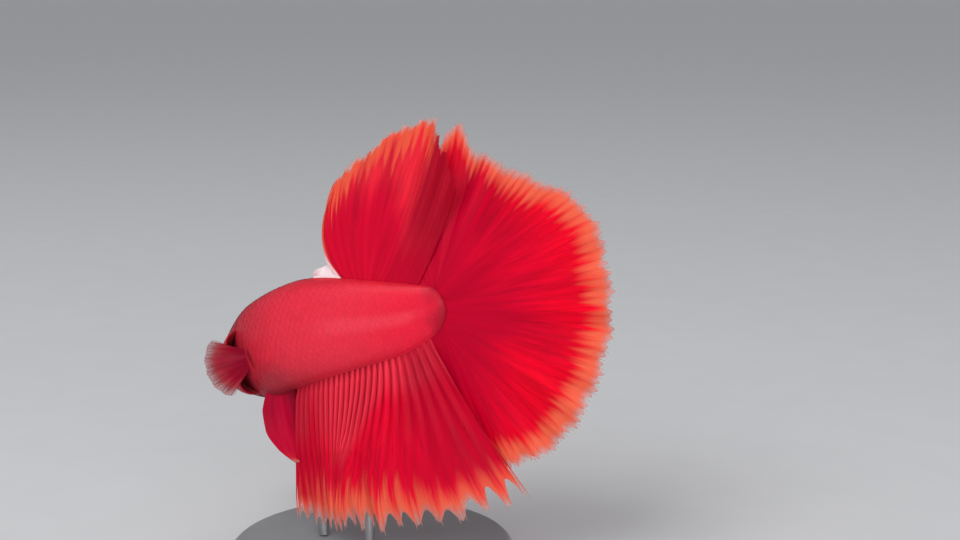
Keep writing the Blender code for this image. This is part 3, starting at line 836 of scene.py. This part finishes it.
def web(name, place, length, lines, fine, rows, tips, scallop, thick, **marks):
    """A closed thin sheet on place(u, v), of fine columns between each two of its lines. Its rim hollows by
    scallop(u) mm between the tips; thick gives its thickness at root and rim. length(u) is the rays' length,
    and marks are functions of (u, v)."""
    columns = fine * lines + 1
    v, u = np.meshgrid(np.linspace(0, 1, rows), np.linspace(0, 1, columns), indexing="ij")
    reach = length(u)
    depth = 0.65 + 0.7 * (np.sin(12.9898 * np.floor(tips * u) + 4.1) * 43.7585 % 1)
    notch = scallop(u) * MM * np.minimum(1, reach / (8 * MM)) * depth
    rim = 1 - notch / reach * (0.5 - 0.5 * np.cos(2 * math.pi * tips * u)) ** 0.8
    inner = -FIN_ROOT / reach
    run = inner + (rim - inner) * v
    middle = place(u, run)
    normal = surface_normal(place, u, run)
    half = (thick[0] + (thick[1] - thick[0]) * v**0.7) / 2
    sides = np.stack([middle + normal * half[..., None], middle - normal * half[..., None]])
    front = np.arange(rows * columns).reshape(rows, columns)
    back = front + rows * columns
    faces = [grid_quads(front), grid_quads(back)[:, ::-1]]
    for near, far in (
        (front[0], back[0]), (back[-1], front[-1]), (back[:, 0], front[:, 0]), (front[:, -1], back[:, -1])
    ):
        faces.append(np.stack([near[:-1], far[:-1], far[1:], near[1:]], -1))
    flat = np.stack([u * 0.48 + 0.01, v * 0.98 + 0.01], -1).reshape(-1, 2)
    uv = np.concatenate([flat, flat + (0.5, 0)])
    values = {"across": u * lines, "root": run * reach / MM, "rim": (1 - run) * reach / MM}
    values.update({key: value(u, run) for key, value in marks.items()})
    return lay_mesh(
        name,
        sides,
        faces,
        uv[np.concatenate([block.ravel() for block in faces])],
        **{key: np.tile(np.ravel(value), 2) for key, value in values.items()},
    )


ROOTED = -1  # the start of a branch that comes out of the body


def forks(first, pairs, splits):
    """Branches (u from, u to, v from, v to) of rays that fork in two at each of the splits. first are the
    rays' places; pairs gives how far a fork's two arms end from it."""
    levels, here, start = [], np.asarray(first, float), ROOTED
    origin = here
    for spread, end in zip((*pairs, 0), (*splits, 1)):
        levels.append(np.stack(np.broadcast_arrays(origin, here, start, end), -1))
        origin, start = np.repeat(here, 2), end
        here = origin + np.tile([-spread, spread], len(here))
    return levels


RAY_CORNERS, RAY_STEP = 6, 0.36 * MM
RAY_ROOT = 0.5 * MM  # how far a ray's root lies inside the body
RAY_WIDTH = 1.25  # width over thickness


def rays(name, place, length, lines, levels, girth, tip, **marks):
    """Tapered tubes along branches of a fin. A branch leaves its fork's line with a smooth step in u; its
    section is an oval, of a girth given for root and rim, which ends in a fine point, tip past the rim."""
    points, faces, total = [], [], 0
    values = {key: [] for key in ("across", "root", "rim", *marks)}
    turn = np.linspace(0, 2 * math.pi, RAY_CORNERS, endpoint=False)
    ends = np.arange(RAY_CORNERS)
    for number, level in enumerate(levels):
        u0, u1, v0, v1 = (level[:, [k]] for k in range(4))
        reach = length(u1)
        v0 = np.where(v0 == ROOTED, -RAY_ROOT / reach, v0 - 0.015)
        last = number == len(levels) - 1
        v1 = v1 + (tip / reach if last else 0.01)
        steps = max(6, int((v1 - v0).mean() * float(np.mean(reach)) / RAY_STEP))
        t = np.linspace(0, 1, steps)[None]
        v = v0 + (v1 - v0) * t
        u = u0 + (u1 - u0) * smooth(t, 0, 0.75)
        path = place(u, v)
        ahead = np.gradient(path, axis=1)
        ahead /= np.linalg.norm(ahead, axis=-1, keepdims=True)
        normal = surface_normal(place, u, np.minimum(v, 1))
        beside = np.cross(normal, ahead)
        radius = (girth[0] + (girth[1] - girth[0]) * np.clip(v, 0, 1) ** 0.6) / 2
        if last:
            radius = radius * np.sqrt(np.clip(1 - smooth(t, 0.9, 1.0) * 0.96, 0, 1))
        ring = normal[:, :, None] * np.cos(turn)[:, None]
        ring = ring + RAY_WIDTH * beside[:, :, None] * np.sin(turn)[:, None]
        points.append((path[:, :, None] + ring * radius[:, :, None, None]).reshape(-1, 3))
        size = steps * RAY_CORNERS
        starts = total + np.arange(len(level))[:, None, None] * size
        caps = np.stack([ends, (size - RAY_CORNERS + ends)[::-1]])
        faces.append((tube_quads(steps, RAY_CORNERS) + starts).reshape(-1, 4))
        faces.append((caps + starts).reshape(-1, RAY_CORNERS))
        total += len(level) * size
        here = {"across": u * lines, "root": v * reach / MM, "rim": (1 - v) * reach / MM}
        here.update({key: value(u, v) for key, value in marks.items()})
        for key, value in here.items():
            values[key].append(np.repeat(value * np.ones_like(u), RAY_CORNERS))
    flat = {key: np.concatenate(parts) for key, parts in values.items()}
    order = np.concatenate([block.ravel() for block in faces])
    uv = np.stack([flat["across"] / (lines * 1.02) + 0.01, np.clip(flat["root"] / 30 + 0.05, 0, 1)], -1)
    return lay_mesh(name, np.concatenate(points), faces, uv[order], **flat)


FIN_COLOURS = ("Root", "Middle", "Rim", "Fringe")
FIN_SIZES = (
    "Change", "Rim Width", "Fringe Width", "Fringe Alpha", "Streaks", "Gaps", "Ray Rate", "Ray Phase"
)
GAP_RED, SHADE_RED, CLEAR_WEB = (0.20, 0.0, 0.010), (0.33, 0.0, 0.016), (0.90, 0.70, 0.72)


def fin_colours():
    """A node group for fins. Colour runs along the rays from Root to Middle at about Change mm, and to Rim
    and Fringe by what is left to the rim, all blurred by streaks; Gaps darkens the skin between rays. Of the
    marks, shade is painted shade that darkens the fin and fades its rim, hem narrows its rim by so many mm,
    and pale makes it clear."""
    inputs = {**dict.fromkeys(FIN_COLOURS, "Color"), **dict.fromkeys(FIN_SIZES, "Float")}
    outputs = {"Colour": "Color", "Alpha": "Float", "Height": "Float", "Roughness": "Float"}
    group = new_group("fin_colours", inputs, outputs)
    given = {name: Field(socket) for name, socket in node(group, "NodeGroupInput").outputs.items()}
    marks = ("across", "root", "rim", "shade", "hem", "pale")
    across, root, rim, shade, hem, pale = (mark_of(group, name) for name in marks)

    def streaks(scale, stretch, seed, detail):
        """Noise about 0, drawn out along the rays by 1 / stretch."""
        place = field(group, "ShaderNodeCombineXYZ", across, root * stretch, seed)
        return noise(place, scale, detail, 0.55) - 0.5

    sweep, broad, fine = streaks(0.11, 0.5, 9.0, 1), streaks(0.5, 0.12, 0.3, 2), streaks(2.6, 0.04, 5.0, 3)
    outward = (sweep * 22.0 + (broad * 12.0 + root)) / given["Change"]
    colour = mixed(stepped(outward, 0.5, 1.5), given["Root"], given["Middle"])
    colour = dimmed(colour, fine * stepped(root, 2.0, 14.0) + (broad * 0.5 + 1.0))
    lit = 1.0 - shade
    between = ((across * (2 * math.pi)).math("COSINE") * -0.5 + 0.5) ** 2.2 * stepped(rim, 2.0, 8.0)
    between = between * (stepped(root, 13.0, 4.0) * 0.7 + 0.3) * given["Gaps"] * lit
    colour = mixed(between, colour, GAP_RED)
    colour = mixed(shade * 0.8, colour, SHADE_RED)
    comb = ((across - given["Ray Phase"]) * given["Ray Rate"] * (2 * math.pi)).math("COSINE")
    wander = (comb * 0.35 + (fine * 6.0 + broad * 3.8)) * given["Streaks"]
    at_rim = stepped((hem + (rim + wander)) / given["Rim Width"], 1.4, 0.5)
    colour = mixed(at_rim * lit, colour, given["Rim"])
    at_fringe = stepped((wander * 0.3 + rim) / given["Fringe Width"], 1.2, 0.1) * (pale * -0.9 + lit)
    colour = mixed(at_fringe, colour, given["Fringe"])
    joints = (root * 16.0).math("SINE") * stepped(rim, 0.0, 12.0)
    node(group, "NodeGroupOutput", inputs={
        "Colour": mixed(pale, colour, CLEAR_WEB),
        "Alpha": 1.0 - at_fringe * (1.0 - given["Fringe Alpha"]),
        "Height": joints * 0.06 + fine,
        "Roughness": broad * 0.3 + 0.45,
    })
    return group


fin_group = fin_colours()


def fin_material(name, colours, change, rim, fringe, alpha, streaks=1.0, gaps=0.0, rate=1, phase=0.0):
    """A fin's finish: the shared group with this fin's own colours (root, middle, rim, fringe), its widths
    in mm and the fringe's alpha, on skin that lets light through. The rays' tips lie at
    (n + phase) / rate lines across."""
    material, tree, shader = new_material(
        name, Specular_IOR_Level=0.06, Subsurface_Weight=0.3, Subsurface_Radius=(1.0, 0.12, 0.12),
        Subsurface_Scale=1.0 * MM,
    )
    made = use_group(tree, fin_group, shader, 0.03 * MM)
    sizes = (change, rim, fringe, alpha, streaks, gaps, rate, phase)
    feed(made.inputs, dict(zip(FIN_COLOURS + FIN_SIZES, (*colours, *sizes))))
    return material


tail_web_finish = fin_material(
    "tail_web", ((0.48, 0.0, 0.022), (0.80, 0.0, 0.016), (0.86, 0.118, 0.062), (0.74, 0.31, 0.28)),
    change=16, rim=3.7, fringe=1.5, alpha=0.5, rate=2, phase=0.25,
)
tail_ray_finish = fin_material(
    "tail_rays", ((0.50, 0.002, 0.022), (0.66, 0.0, 0.012), (0.84, 0.11, 0.055), (0.76, 0.31, 0.27)),
    change=14, rim=3.6, fringe=1.5, alpha=0.55,
)


def tail_length(u):
    return tail_reach(tail_degrees(u))


def tail_shade(u, v):
    """Painted shade: the back fin's shadow over the top of the fan, and darker about the root."""
    under_back_fin = smooth(tail_degrees(u), 88, 102) * smooth(v, 0.97, 0.6) * smooth(v, 0.1, 0.5)
    return 0.7 * under_back_fin + 0.25 * smooth(v, 0.45, 0.0)


def tail_hem(u, v):
    """How many mm narrower the coral rim is: 1.5 about the top of the fan."""
    return 1.5 * smooth(tail_degrees(u), 35, 58) * smooth(tail_degrees(u), 100, 86)


tail_marks = {"shade": tail_shade, "hem": tail_hem}
tail_lines = 2 * TAIL_PLEATS
tail_sheet = web(
    "tail_web", tail_web, tail_length, tail_lines, fine=12, rows=88, tips=2 * tail_lines,
    scallop=lambda u: 0.75, thick=(0.26 * MM, 0.07 * MM), **tail_marks,
)
first = (2 * np.arange(TAIL_PLEATS) + 0.5) / tail_lines
tail_rays = rays(
    "tail_rays", tail_web, tail_length, tail_lines,
    forks(first, (0.5 / tail_lines, 0.25 / tail_lines), (0.16, 0.56)),
    girth=(0.25 * MM, 0.13 * MM), tip=0.15 * MM, **tail_marks,
)
for piece, finish in ((tail_sheet, tail_web_finish), (tail_rays, tail_ray_finish)):
    piece.data.materials.append(finish)
    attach(piece, "root")
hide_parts("tail_fin")

# ---- Dorsal fin ---------------------------------------------------------------------------------
# The back fin leans over the tail stalk. A low clear web runs up to its first ray; the rays behind it fan
# out, and a crease divides the front, which faces the side, from the rear, which turns away.
DORSAL_SPAN = (0.625, 0.955)
DORSAL_KNOTS = (
    (0, 0.5), (0.25, 2.8), (0.277, 12.2), (0.36, 15.0), (0.44, 17.6), (0.49, 19.9), (0.56, 23.4),
    (0.63, 24.8), (0.75, 21.4), (0.85, 18.8), (1, 14.2),
)
dorsal_length = ragged(DORSAL_KNOTS, 0.022, 62)
DORSAL_LEAN = eased(
    ((0, 14), (0.17, 4), (0.25, -30), (0.28, -30), (0.38, -11), (0.52, 18), (0.65, 38.5), (0.82, 38), (1, 37))
)
DORSAL_CURL = eased(((0, 0), (0.17, 3), (0.25, 9), (0.277, 39), (0.38, 21), (0.52, 6), (0.65, -6), (1, -6)))
DORSAL_SWAY = eased(((0, 0), (0.29, 0.4), (0.68, 2.3), (0.85, 1.0), (1, -1.9)))
DORSAL_PLEATS = 11
CLEAR_FRONT = 0.264  # the share of the fin before its first ray, where the web is low and clear
# Each fold's depth of shade, its place and width in u, and where in v it starts and is full.
DORSAL_FOLDS = (
    (0.45, 0.455, 0.016, 0.35, 0.55), (0.5, 0.535, 0.013, 0.45, 0.7),
    (0.35, 0.375, 0.012, 0.25, 0.1), (0.35, 0.585, 0.012, 0.5, 0.2),
)


def edge_web(root, span, lengths, angles, curls, count, sway, gather=None, ridge=None):
    """A fin's sheet along the back or the belly. A ray's foot is on the body at root, and it runs out at
    angles(u) + curls(u) * v degrees of lean towards the tail, sway(u, v) mm to the left. gather(u, v) shifts
    the rays along the fin, so that they bunch and spread, and ridge(u, v) mm is added to the pleats."""
    outward = 1 if root > 0 else -1

    def place(own, v):
        u = own + (gather(own, v) if gather else 0)
        station = span[0] + (span[1] - span[0]) * u
        forward, up, left = axes_at(station)
        lean = np.radians(angles(u) + curls(u) * np.clip(v, 0, None))
        reach = lengths(u) * v
        along, rise = reach * np.sin(lean), reach * np.cos(lean) * outward
        across = sway(u, np.clip(v, 0, None)) * MM + pleats(own, count) * pleat_depth(reach, v)
        if ridge:
            across = across + ridge(own, v) * MM
        foot = on_body(station, root, FIN_FOOT)
        return foot - forward * along[..., None] + up * rise[..., None] + left * across[..., None]

    return place


def dorsal_sway(u, v):
    """How many mm a point lies to the left: the fin's own bend and two waves along it."""
    return DORSAL_SWAY(u) * v + 0.45 * np.sin(27 * u + 1) * v + 0.2 * np.sin(59 * u - 2 * v) * v


def dorsal_pale(u, v):
    """Clear before the first ray."""
    return smooth(u, CLEAR_FRONT, 0.246)


def dorsal_shade(u, v):
    """Painted shade in the rear half, which turns away, and in four folds; darker along the leading rays."""
    rear = smooth(u, 0.64, 0.74) * (0.6 + 0.4 * smooth(v, 0.1, 0.5))
    leading = 0.45 * smooth(u, 0.32, 0.28) * smooth(v, 0.85, 0.6)
    folds = sum(
        depth * bump(u, centre, width) * smooth(v, start, full)
        for depth, centre, width, start, full in DORSAL_FOLDS
    )
    return rear + leading + folds * smooth(v, 0.99, 0.9)


dorsal_web = edge_web(
    math.pi / 2, DORSAL_SPAN, dorsal_length, DORSAL_LEAN, DORSAL_CURL, DORSAL_PLEATS, dorsal_sway
)
dorsal_lines = 2 * DORSAL_PLEATS
dorsal_sheet = web(
    "dorsal_web", dorsal_web, dorsal_length, dorsal_lines, fine=16, rows=92, tips=2 * dorsal_lines,
    scallop=lambda u: 0.7 * (u > 0.27), thick=(0.26 * MM, 0.07 * MM), pale=dorsal_pale, shade=dorsal_shade,
)
dorsal_rays = rays(
    "dorsal_rays", dorsal_web, dorsal_length, dorsal_lines,
    forks(np.arange(6, dorsal_lines + 1) / dorsal_lines, (0.25 / dorsal_lines,), (0.45,)),
    girth=(0.30 * MM, 0.10 * MM), tip=0.12 * MM, shade=dorsal_shade,
)
dorsal_web_finish = fin_material(
    "dorsal_web", ((0.62, 0.001, 0.026), (0.77, 0.018, 0.038), (0.84, 0.095, 0.050), (0.78, 0.32, 0.28)),
    change=9, rim=3.7, fringe=0.9, alpha=0.5, streaks=2.2, gaps=0.15, rate=2, phase=0.25,
)
dorsal_ray_finish = fin_material(
    "dorsal_rays", ((0.62, 0.008, 0.028), (0.70, 0.016, 0.030), (0.84, 0.10, 0.05), (0.82, 0.36, 0.30)),
    change=9, rim=3.0, fringe=0.6, alpha=0.8, streaks=1.2,
)
for piece, finish in ((dorsal_sheet, dorsal_web_finish), (dorsal_rays, dorsal_ray_finish)):
    piece.data.materials.append(finish)
    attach(piece, "root")
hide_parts("dorsal_fin")

# ---- Anal fin -----------------------------------------------------------------------------------
# The belly fin hangs from the breast to the tail like a curtain: twenty-five rays that fork halfway down
# and whose tips stand out of the web like a comb.
ANAL_SPAN = (0.43, 0.962)
ANAL_KNOTS = ((0, 18.8), (0.06, 19.8), (0.5, 23.2), (0.85, 24.6), (1, 26.2))
anal_length = ragged(ANAL_KNOTS, 0.022, 47)
ANAL_LEAN = eased(((0, -25), (0.3, -16), (0.7, -3), (1, 20)))
ANAL_CURL = eased(((0, 3), (0.3, 5), (0.7, 6), (1, 3)))
ANAL_PLEATS = 12


def anal_sway(u, v):
    """How many mm a point lies to the left: a bend that grows to three quarters back, and two waves."""
    bend = (0.6 + 1.8 * u - 2.4 * smooth(u, 0.7, 1)) * v**0.7
    return bend + 0.6 * np.sin(21 * u + 3 * v) * v**1.5 + 0.3 * np.sin(47 * u - 4 * v) * v**2


def anal_gather(u, v):
    """Rays bunch by twos and threes, and those of the rear middle are drawn forward below the root."""
    bunch = 0.006 * np.sin(20 * u + 1) * smooth(v, 0, 0.7) + 0.002 * np.sin(43 * u + 5 * v)
    return np.sin(math.pi * u) * (bunch - 0.25 * bump(u, 0.6, 0.27) * smooth(v, 0, 0.9))


def anal_ridge(u, v):
    """A line in relief over each ray near the root."""
    return 0.20 * np.cos(4 * math.pi * ANAL_PLEATS * u) * smooth(v, 0, 0.08) * smooth(v, 0.8, 0.2)


def anal_shade(u, v):
    """Dusky at the front, behind the body's shadow, and at the rear, where the tail fin starts."""
    front = 0.75 * smooth(u, 0.36, 0.02) * smooth(v, 0.97, 0.8)
    return front + 0.72 * smooth(u, 0.72, 0.9) * smooth(v, 0.95, 0.7)


anal_web = edge_web(
    -math.pi / 2, ANAL_SPAN, anal_length, ANAL_LEAN, ANAL_CURL, ANAL_PLEATS, anal_sway, anal_gather,
    anal_ridge,
)
anal_lines = 2 * ANAL_PLEATS
anal_sheet = web(
    "anal_web", anal_web, anal_length, anal_lines, fine=16, rows=110, tips=anal_lines,
    scallop=lambda u: 0.9 + 1.9 * smooth(u, 0.3, 0.8), thick=(0.24 * MM, 0.07 * MM), shade=anal_shade,
)
anal_rays = rays(
    "anal_rays", anal_web, anal_length, anal_lines,
    forks(np.arange(anal_lines + 1) / anal_lines, (0.13 / anal_lines,), (0.5,)),
    girth=(0.38 * MM, 0.13 * MM), tip=0.35 * MM, shade=anal_shade,
)
anal_web_finish = fin_material(
    "anal_web", ((0.76, 0.022, 0.052), (0.76, 0.0, 0.024), (0.84, 0.115, 0.06), (0.66, 0.32, 0.29)),
    change=7, rim=5.3, fringe=2.8, alpha=0.3, streaks=1.8, gaps=0.85,
)
anal_ray_finish = fin_material(
    "anal_rays", ((0.82, 0.036, 0.066), (0.74, 0.002, 0.026), (0.82, 0.10, 0.055), (0.74, 0.30, 0.26)),
    change=7, rim=4.4, fringe=1.6, alpha=0.6, streaks=1.4,
)
for piece, finish in ((anal_sheet, anal_web_finish), (anal_rays, anal_ray_finish)):
    piece.data.materials.append(finish)
    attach(piece, "root")
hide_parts("anal_fin")

# ---- Pectoral fins ------------------------------------------------------------------------------
# A small fan beats behind each gill cover: eleven fine rays in a web that is nearly clear at its rim.
PECTORAL_LENGTH = 6.8 * MM
PECTORAL_STATION, PECTORAL_ROOT = 0.335, (4, -18)
PECTORAL_FAN = (24, -40)
PECTORAL_SWEEP = {"left": 2, "right": -28}
PECTORAL_PLEATS = 5


def pectoral_length(u):
    return PECTORAL_LENGTH * (1 - 0.25 * (2 * u - 1) ** 2)


def pectoral_web(side):
    """The fan's sheet: rays from a short root on the flank run out at their angles over the level, swept
    forward or back, with a wave of pleats."""
    sign = 1 if side == "left" else -1
    forward, up, left = axes_at(PECTORAL_STATION)
    out, sweep = left * sign, math.radians(PECTORAL_SWEEP[side])

    def place(u, v):
        angle = np.radians(PECTORAL_FAN[0] + (PECTORAL_FAN[1] - PECTORAL_FAN[0]) * u)
        around = np.radians(PECTORAL_ROOT[0] + (PECTORAL_ROOT[1] - PECTORAL_ROOT[0]) * u)
        foot = on_body(PECTORAL_STATION, around if sign > 0 else math.pi - around, FIN_FOOT)
        reach = pectoral_length(u) * v
        wave = pleats(u, PECTORAL_PLEATS) * 0.14 * MM * np.clip(v, 0, None)
        ahead = reach * np.cos(angle) * math.sin(sweep) + wave
        level = reach * np.cos(angle) * math.cos(sweep)
        rise = reach * np.sin(angle)
        return foot + out * level[..., None] + forward * ahead[..., None] + up * rise[..., None]

    return place


pectoral_lines = 2 * PECTORAL_PLEATS
pectoral_web_finish = fin_material(
    "pectoral_web", ((0.24, 0.004, 0.022), (0.25, 0.014, 0.032), (0.29, 0.032, 0.045), (0.34, 0.11, 0.12)),
    change=3, rim=2.4, fringe=1.8, alpha=0.4, streaks=0.9,
)
pectoral_ray_finish = fin_material(
    "pectoral_rays", ((0.26, 0.006, 0.020), (0.27, 0.012, 0.028), (0.32, 0.04, 0.05), (0.36, 0.11, 0.12)),
    change=3, rim=2.2, fringe=1.4, alpha=0.5, streaks=0.9,
)
for side in ("left", "right"):
    place = pectoral_web(side)
    sheet = web(
        f"pectoral_web_{side}", place, pectoral_length, pectoral_lines, fine=16, rows=50,
        tips=2 * pectoral_lines, scallop=lambda u: 0.2, thick=(0.16 * MM, 0.05 * MM),
    )
    spokes = rays(
        f"pectoral_rays_{side}", place, pectoral_length, pectoral_lines,
        forks(np.arange(pectoral_lines + 1) / pectoral_lines, (0.25 / pectoral_lines,), (0.5,)),
        girth=(0.16 * MM, 0.06 * MM), tip=0.05 * MM,
    )
    for piece, finish in ((sheet, pectoral_web_finish), (spokes, pectoral_ray_finish)):
        piece.data.materials.append(finish)
        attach(piece, "root")
    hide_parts(f"pectoral_fin_{side}")

# ---- Pelvic fins --------------------------------------------------------------------------------
# Two long leaves hang from the breast, each of seven fine rays drawn out to one point.
PELVIC_LENGTH = 9.7 * MM
PELVIC_WIDTH = eased(((-0.1, 3.4), (0, 4.4), (0.15, 6.0), (0.45, 6.2), (0.75, 4.2), (1, 0.5)))
PELVIC_STATION = 0.345
PELVIC_WIDTH_SLANT = math.radians(50)
PELVIC_POSE = {"left": (-78, -10, 4), "right": (-114, 2, 16)}
PELVIC_LINES = 6


def pelvic_length(u):
    return PELVIC_LENGTH + 0 * u


def pelvic_web(side):
    """The leaf's sheet: it runs along one direction from its root, as wide there as PELVIC_WIDTH says,
    bowed across and bent back towards its point."""
    around, lean, splay = (math.radians(angle) for angle in PELVIC_POSE[side])
    forward, up, left = axes_at(PELVIC_STATION)
    root = on_body(PELVIC_STATION, around, FIN_FOOT)
    out = left if side == "left" else -left
    along = -up * math.cos(lean) * math.cos(splay) - forward * math.sin(lean) + out * math.sin(splay)
    across = math.cos(PELVIC_WIDTH_SLANT) * forward + math.sin(PELVIC_WIDTH_SLANT) * left
    across = across - along * (across @ along)
    across = across / np.linalg.norm(across)
    normal = np.cross(along, across)

    def place(u, v):
        wide = PELVIC_WIDTH(v) * MM * (u - 0.5)
        bow = 0.5 * np.sin(math.pi * v) - 0.6 * np.cos(2 * math.pi * u) * v * (1 - v)
        bow = (bow + 0.07 * pleats(u, PELVIC_LINES / 2) * np.sin(math.pi * np.clip(v, 0, 1))) * MM
        bend = (0.7 + 1.3 * v**2) * MM
        reach = 0.3 * MM + PELVIC_LENGTH * v - 1.2 * MM * smooth(v, 0.15, -0.05)
        return root + along * reach[..., None] + across * (wide - bend)[..., None] + normal * bow[..., None]

    return place


pelvic_web_finish = fin_material(
    "pelvic_web", ((0.36, 0.0, 0.024), (0.44, 0.0, 0.026), (0.48, 0.006, 0.026), (0.60, 0.16, 0.14)),
    change=4, rim=1.5, fringe=0.7, alpha=0.7, streaks=0.4, gaps=0.3,
)
pelvic_ray_finish = fin_material(
    "pelvic_rays", ((0.44, 0.006, 0.030), (0.48, 0.004, 0.028), (0.52, 0.010, 0.030), (0.62, 0.16, 0.14)),
    change=4, rim=1.5, fringe=0.7, alpha=0.8, streaks=0.4,
)
for side in ("left", "right"):
    place = pelvic_web(side)
    sheet = web(
        f"pelvic_web_{side}", place, pelvic_length, PELVIC_LINES, fine=10, rows=90, tips=PELVIC_LINES,
        scallop=lambda u: 0.2, thick=(0.24 * MM, 0.08 * MM),
    )
    spokes = rays(
        f"pelvic_rays_{side}", place, pelvic_length, PELVIC_LINES,
        forks(np.linspace(0.02, 0.98, PELVIC_LINES + 1), (), ()), girth=(0.24 * MM, 0.08 * MM), tip=0.0,
    )
    for piece, finish in ((sheet, pelvic_web_finish), (spokes, pelvic_ray_finish)):
        piece.data.materials.append(finish)
        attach(piece, "root")
    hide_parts(f"pelvic_fin_{side}")

# ---- Stand --------------------------------------------------------------------------------------
# A plain round base of moulded grey plastic, with a fine grain and a rim rubbed a little lighter, and two
# brushed steel rods that hold the fish from its far side. Their solids stay; only their finish is made here.
low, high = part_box("stand_base")
base_material, tree, shader = new_material("stand_base", Specular_IOR_Level=0.35)
place = place_of(tree)
middle = (-(low[0] + high[0]) / 2, -(low[1] + high[1]) / 2, 0)
flat = field(tree, "ShaderNodeMapping", place, inputs={"Location": middle, "Scale": (1, 1, 0)})
radius = field(tree, "ShaderNodeVectorMath", flat, output="Value", operation="LENGTH")
grit, cloud = noise(place, 5000, 2), noise(place, 160, 3)
rim_at = (high[0] - low[0]) / 2
worn = stepped(radius, rim_at - 0.9 * MM, rim_at - 0.1 * MM) * stepped(cloud, 0.3, 0.65) * 0.6
grey = mixed(cloud, (0.22, 0.22, 0.23), (0.29, 0.29, 0.30))
feed(shader.inputs, {
    "Base Color": mixed(worn, grey, (0.46, 0.46, 0.47)),
    "Roughness": cloud * 0.2 + 0.45,
    "Normal": bumped(grit, 0.5, 0.05 * MM),
})
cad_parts["stand_base"].material_slots[0].material = base_material

rod_material, tree, shader = new_material("stand_rod", Metallic=1.0)
drawn = field(tree, "ShaderNodeMapping", place_of(tree), inputs={"Scale": (9000, 9000, 300)})
brushed = noise(drawn, 1.0, 3)
feed(shader.inputs, {
    "Base Color": mixed(brushed, (0.48, 0.48, 0.49), (0.66, 0.66, 0.66)),
    "Roughness": brushed * 0.22 + 0.2,
    "Normal": bumped(brushed, 0.3, 0.01 * MM),
})
for rod_name in ("stand_rod_front", "stand_rod_rear"):
    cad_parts[rod_name].material_slots[0].material = rod_material

# ---- Studio -------------------------------------------------------------------------------------
# A pale matt floor that fades into an even pale surround, three softboxes in front, and the camera.
FLOOR = 30  # half its side, in metres
floor_mesh = bpy.data.meshes.new("floor")
corners = [(FLOOR * x, FLOOR * y, 0) for x, y in ((-1, -1), (1, -1), (1, 1), (-1, 1))]
floor_mesh.from_pydata(corners, [], [(0, 1, 2, 3)])
floor = bpy.data.objects.new("floor", floor_mesh)
bpy.context.scene.collection.objects.link(floor)
floor_material, tree, shader = new_material("floor", Specular_IOR_Level=0.2, Roughness=0.85)
mottle = noise(place_of(tree), 90, 4)
feed(shader.inputs, {"Base Color": mixed(mottle, (0.70, 0.70, 0.71), (0.74, 0.74, 0.75))})
floor_mesh.materials.append(floor_material)


def softbox(name, place, target, size, power):
    """An oblong lamp that points from its place at a target."""
    lamp = bpy.data.lights.new(name, "AREA")
    lamp.shape = "RECTANGLE"
    lamp.size, lamp.size_y = size
    lamp.energy = power
    obj = bpy.data.objects.new(name, lamp)
    obj.location = place
    obj.rotation_euler = (Vector(target) - Vector(place)).to_track_quat("-Z", "Y").to_euler()
    bpy.context.scene.collection.objects.link(obj)


softbox("key", (-0.35, -0.6, 0.75), (0, 0, 0.03), (0.5, 0.5), 4.75)
softbox("fill", (0.3, -0.65, 0.12), (0, 0, 0.03), (0.5, 0.2), 1.7)
softbox("strip", (-0.05, -0.6, 0.36), (0, 0, 0.04), (0.6, 0.04), 0.6)
world = bpy.data.worlds.new("studio")
world.use_nodes = True
tree = world.node_tree
ahead = field(tree, "ShaderNodeTexCoord", output="Generated")
height = field(tree, "ShaderNodeSeparateXYZ", ahead, output=2)
surround = mixed(stepped(height, 0.0, 0.35), (0.60, 0.61, 0.63), (0.84, 0.86, 0.89))
feed(tree.nodes["Background"].inputs, {"Color": surround, "Strength": 0.47})
bpy.context.scene.world = world
camera_data = bpy.data.cameras.new("camera")
camera_data.lens = 58.575
camera_data.sensor_width = 36
camera_data.clip_start = 0.01
camera = bpy.data.objects.new("camera", camera_data)
camera.location = (0.016056, -0.222728, 0.084473)
camera.rotation_euler = (math.radians(80), 0, 0)
bpy.context.scene.collection.objects.link(camera)
bpy.context.scene.camera = camera
bpy.context.scene.view_settings.view_transform = "Standard"
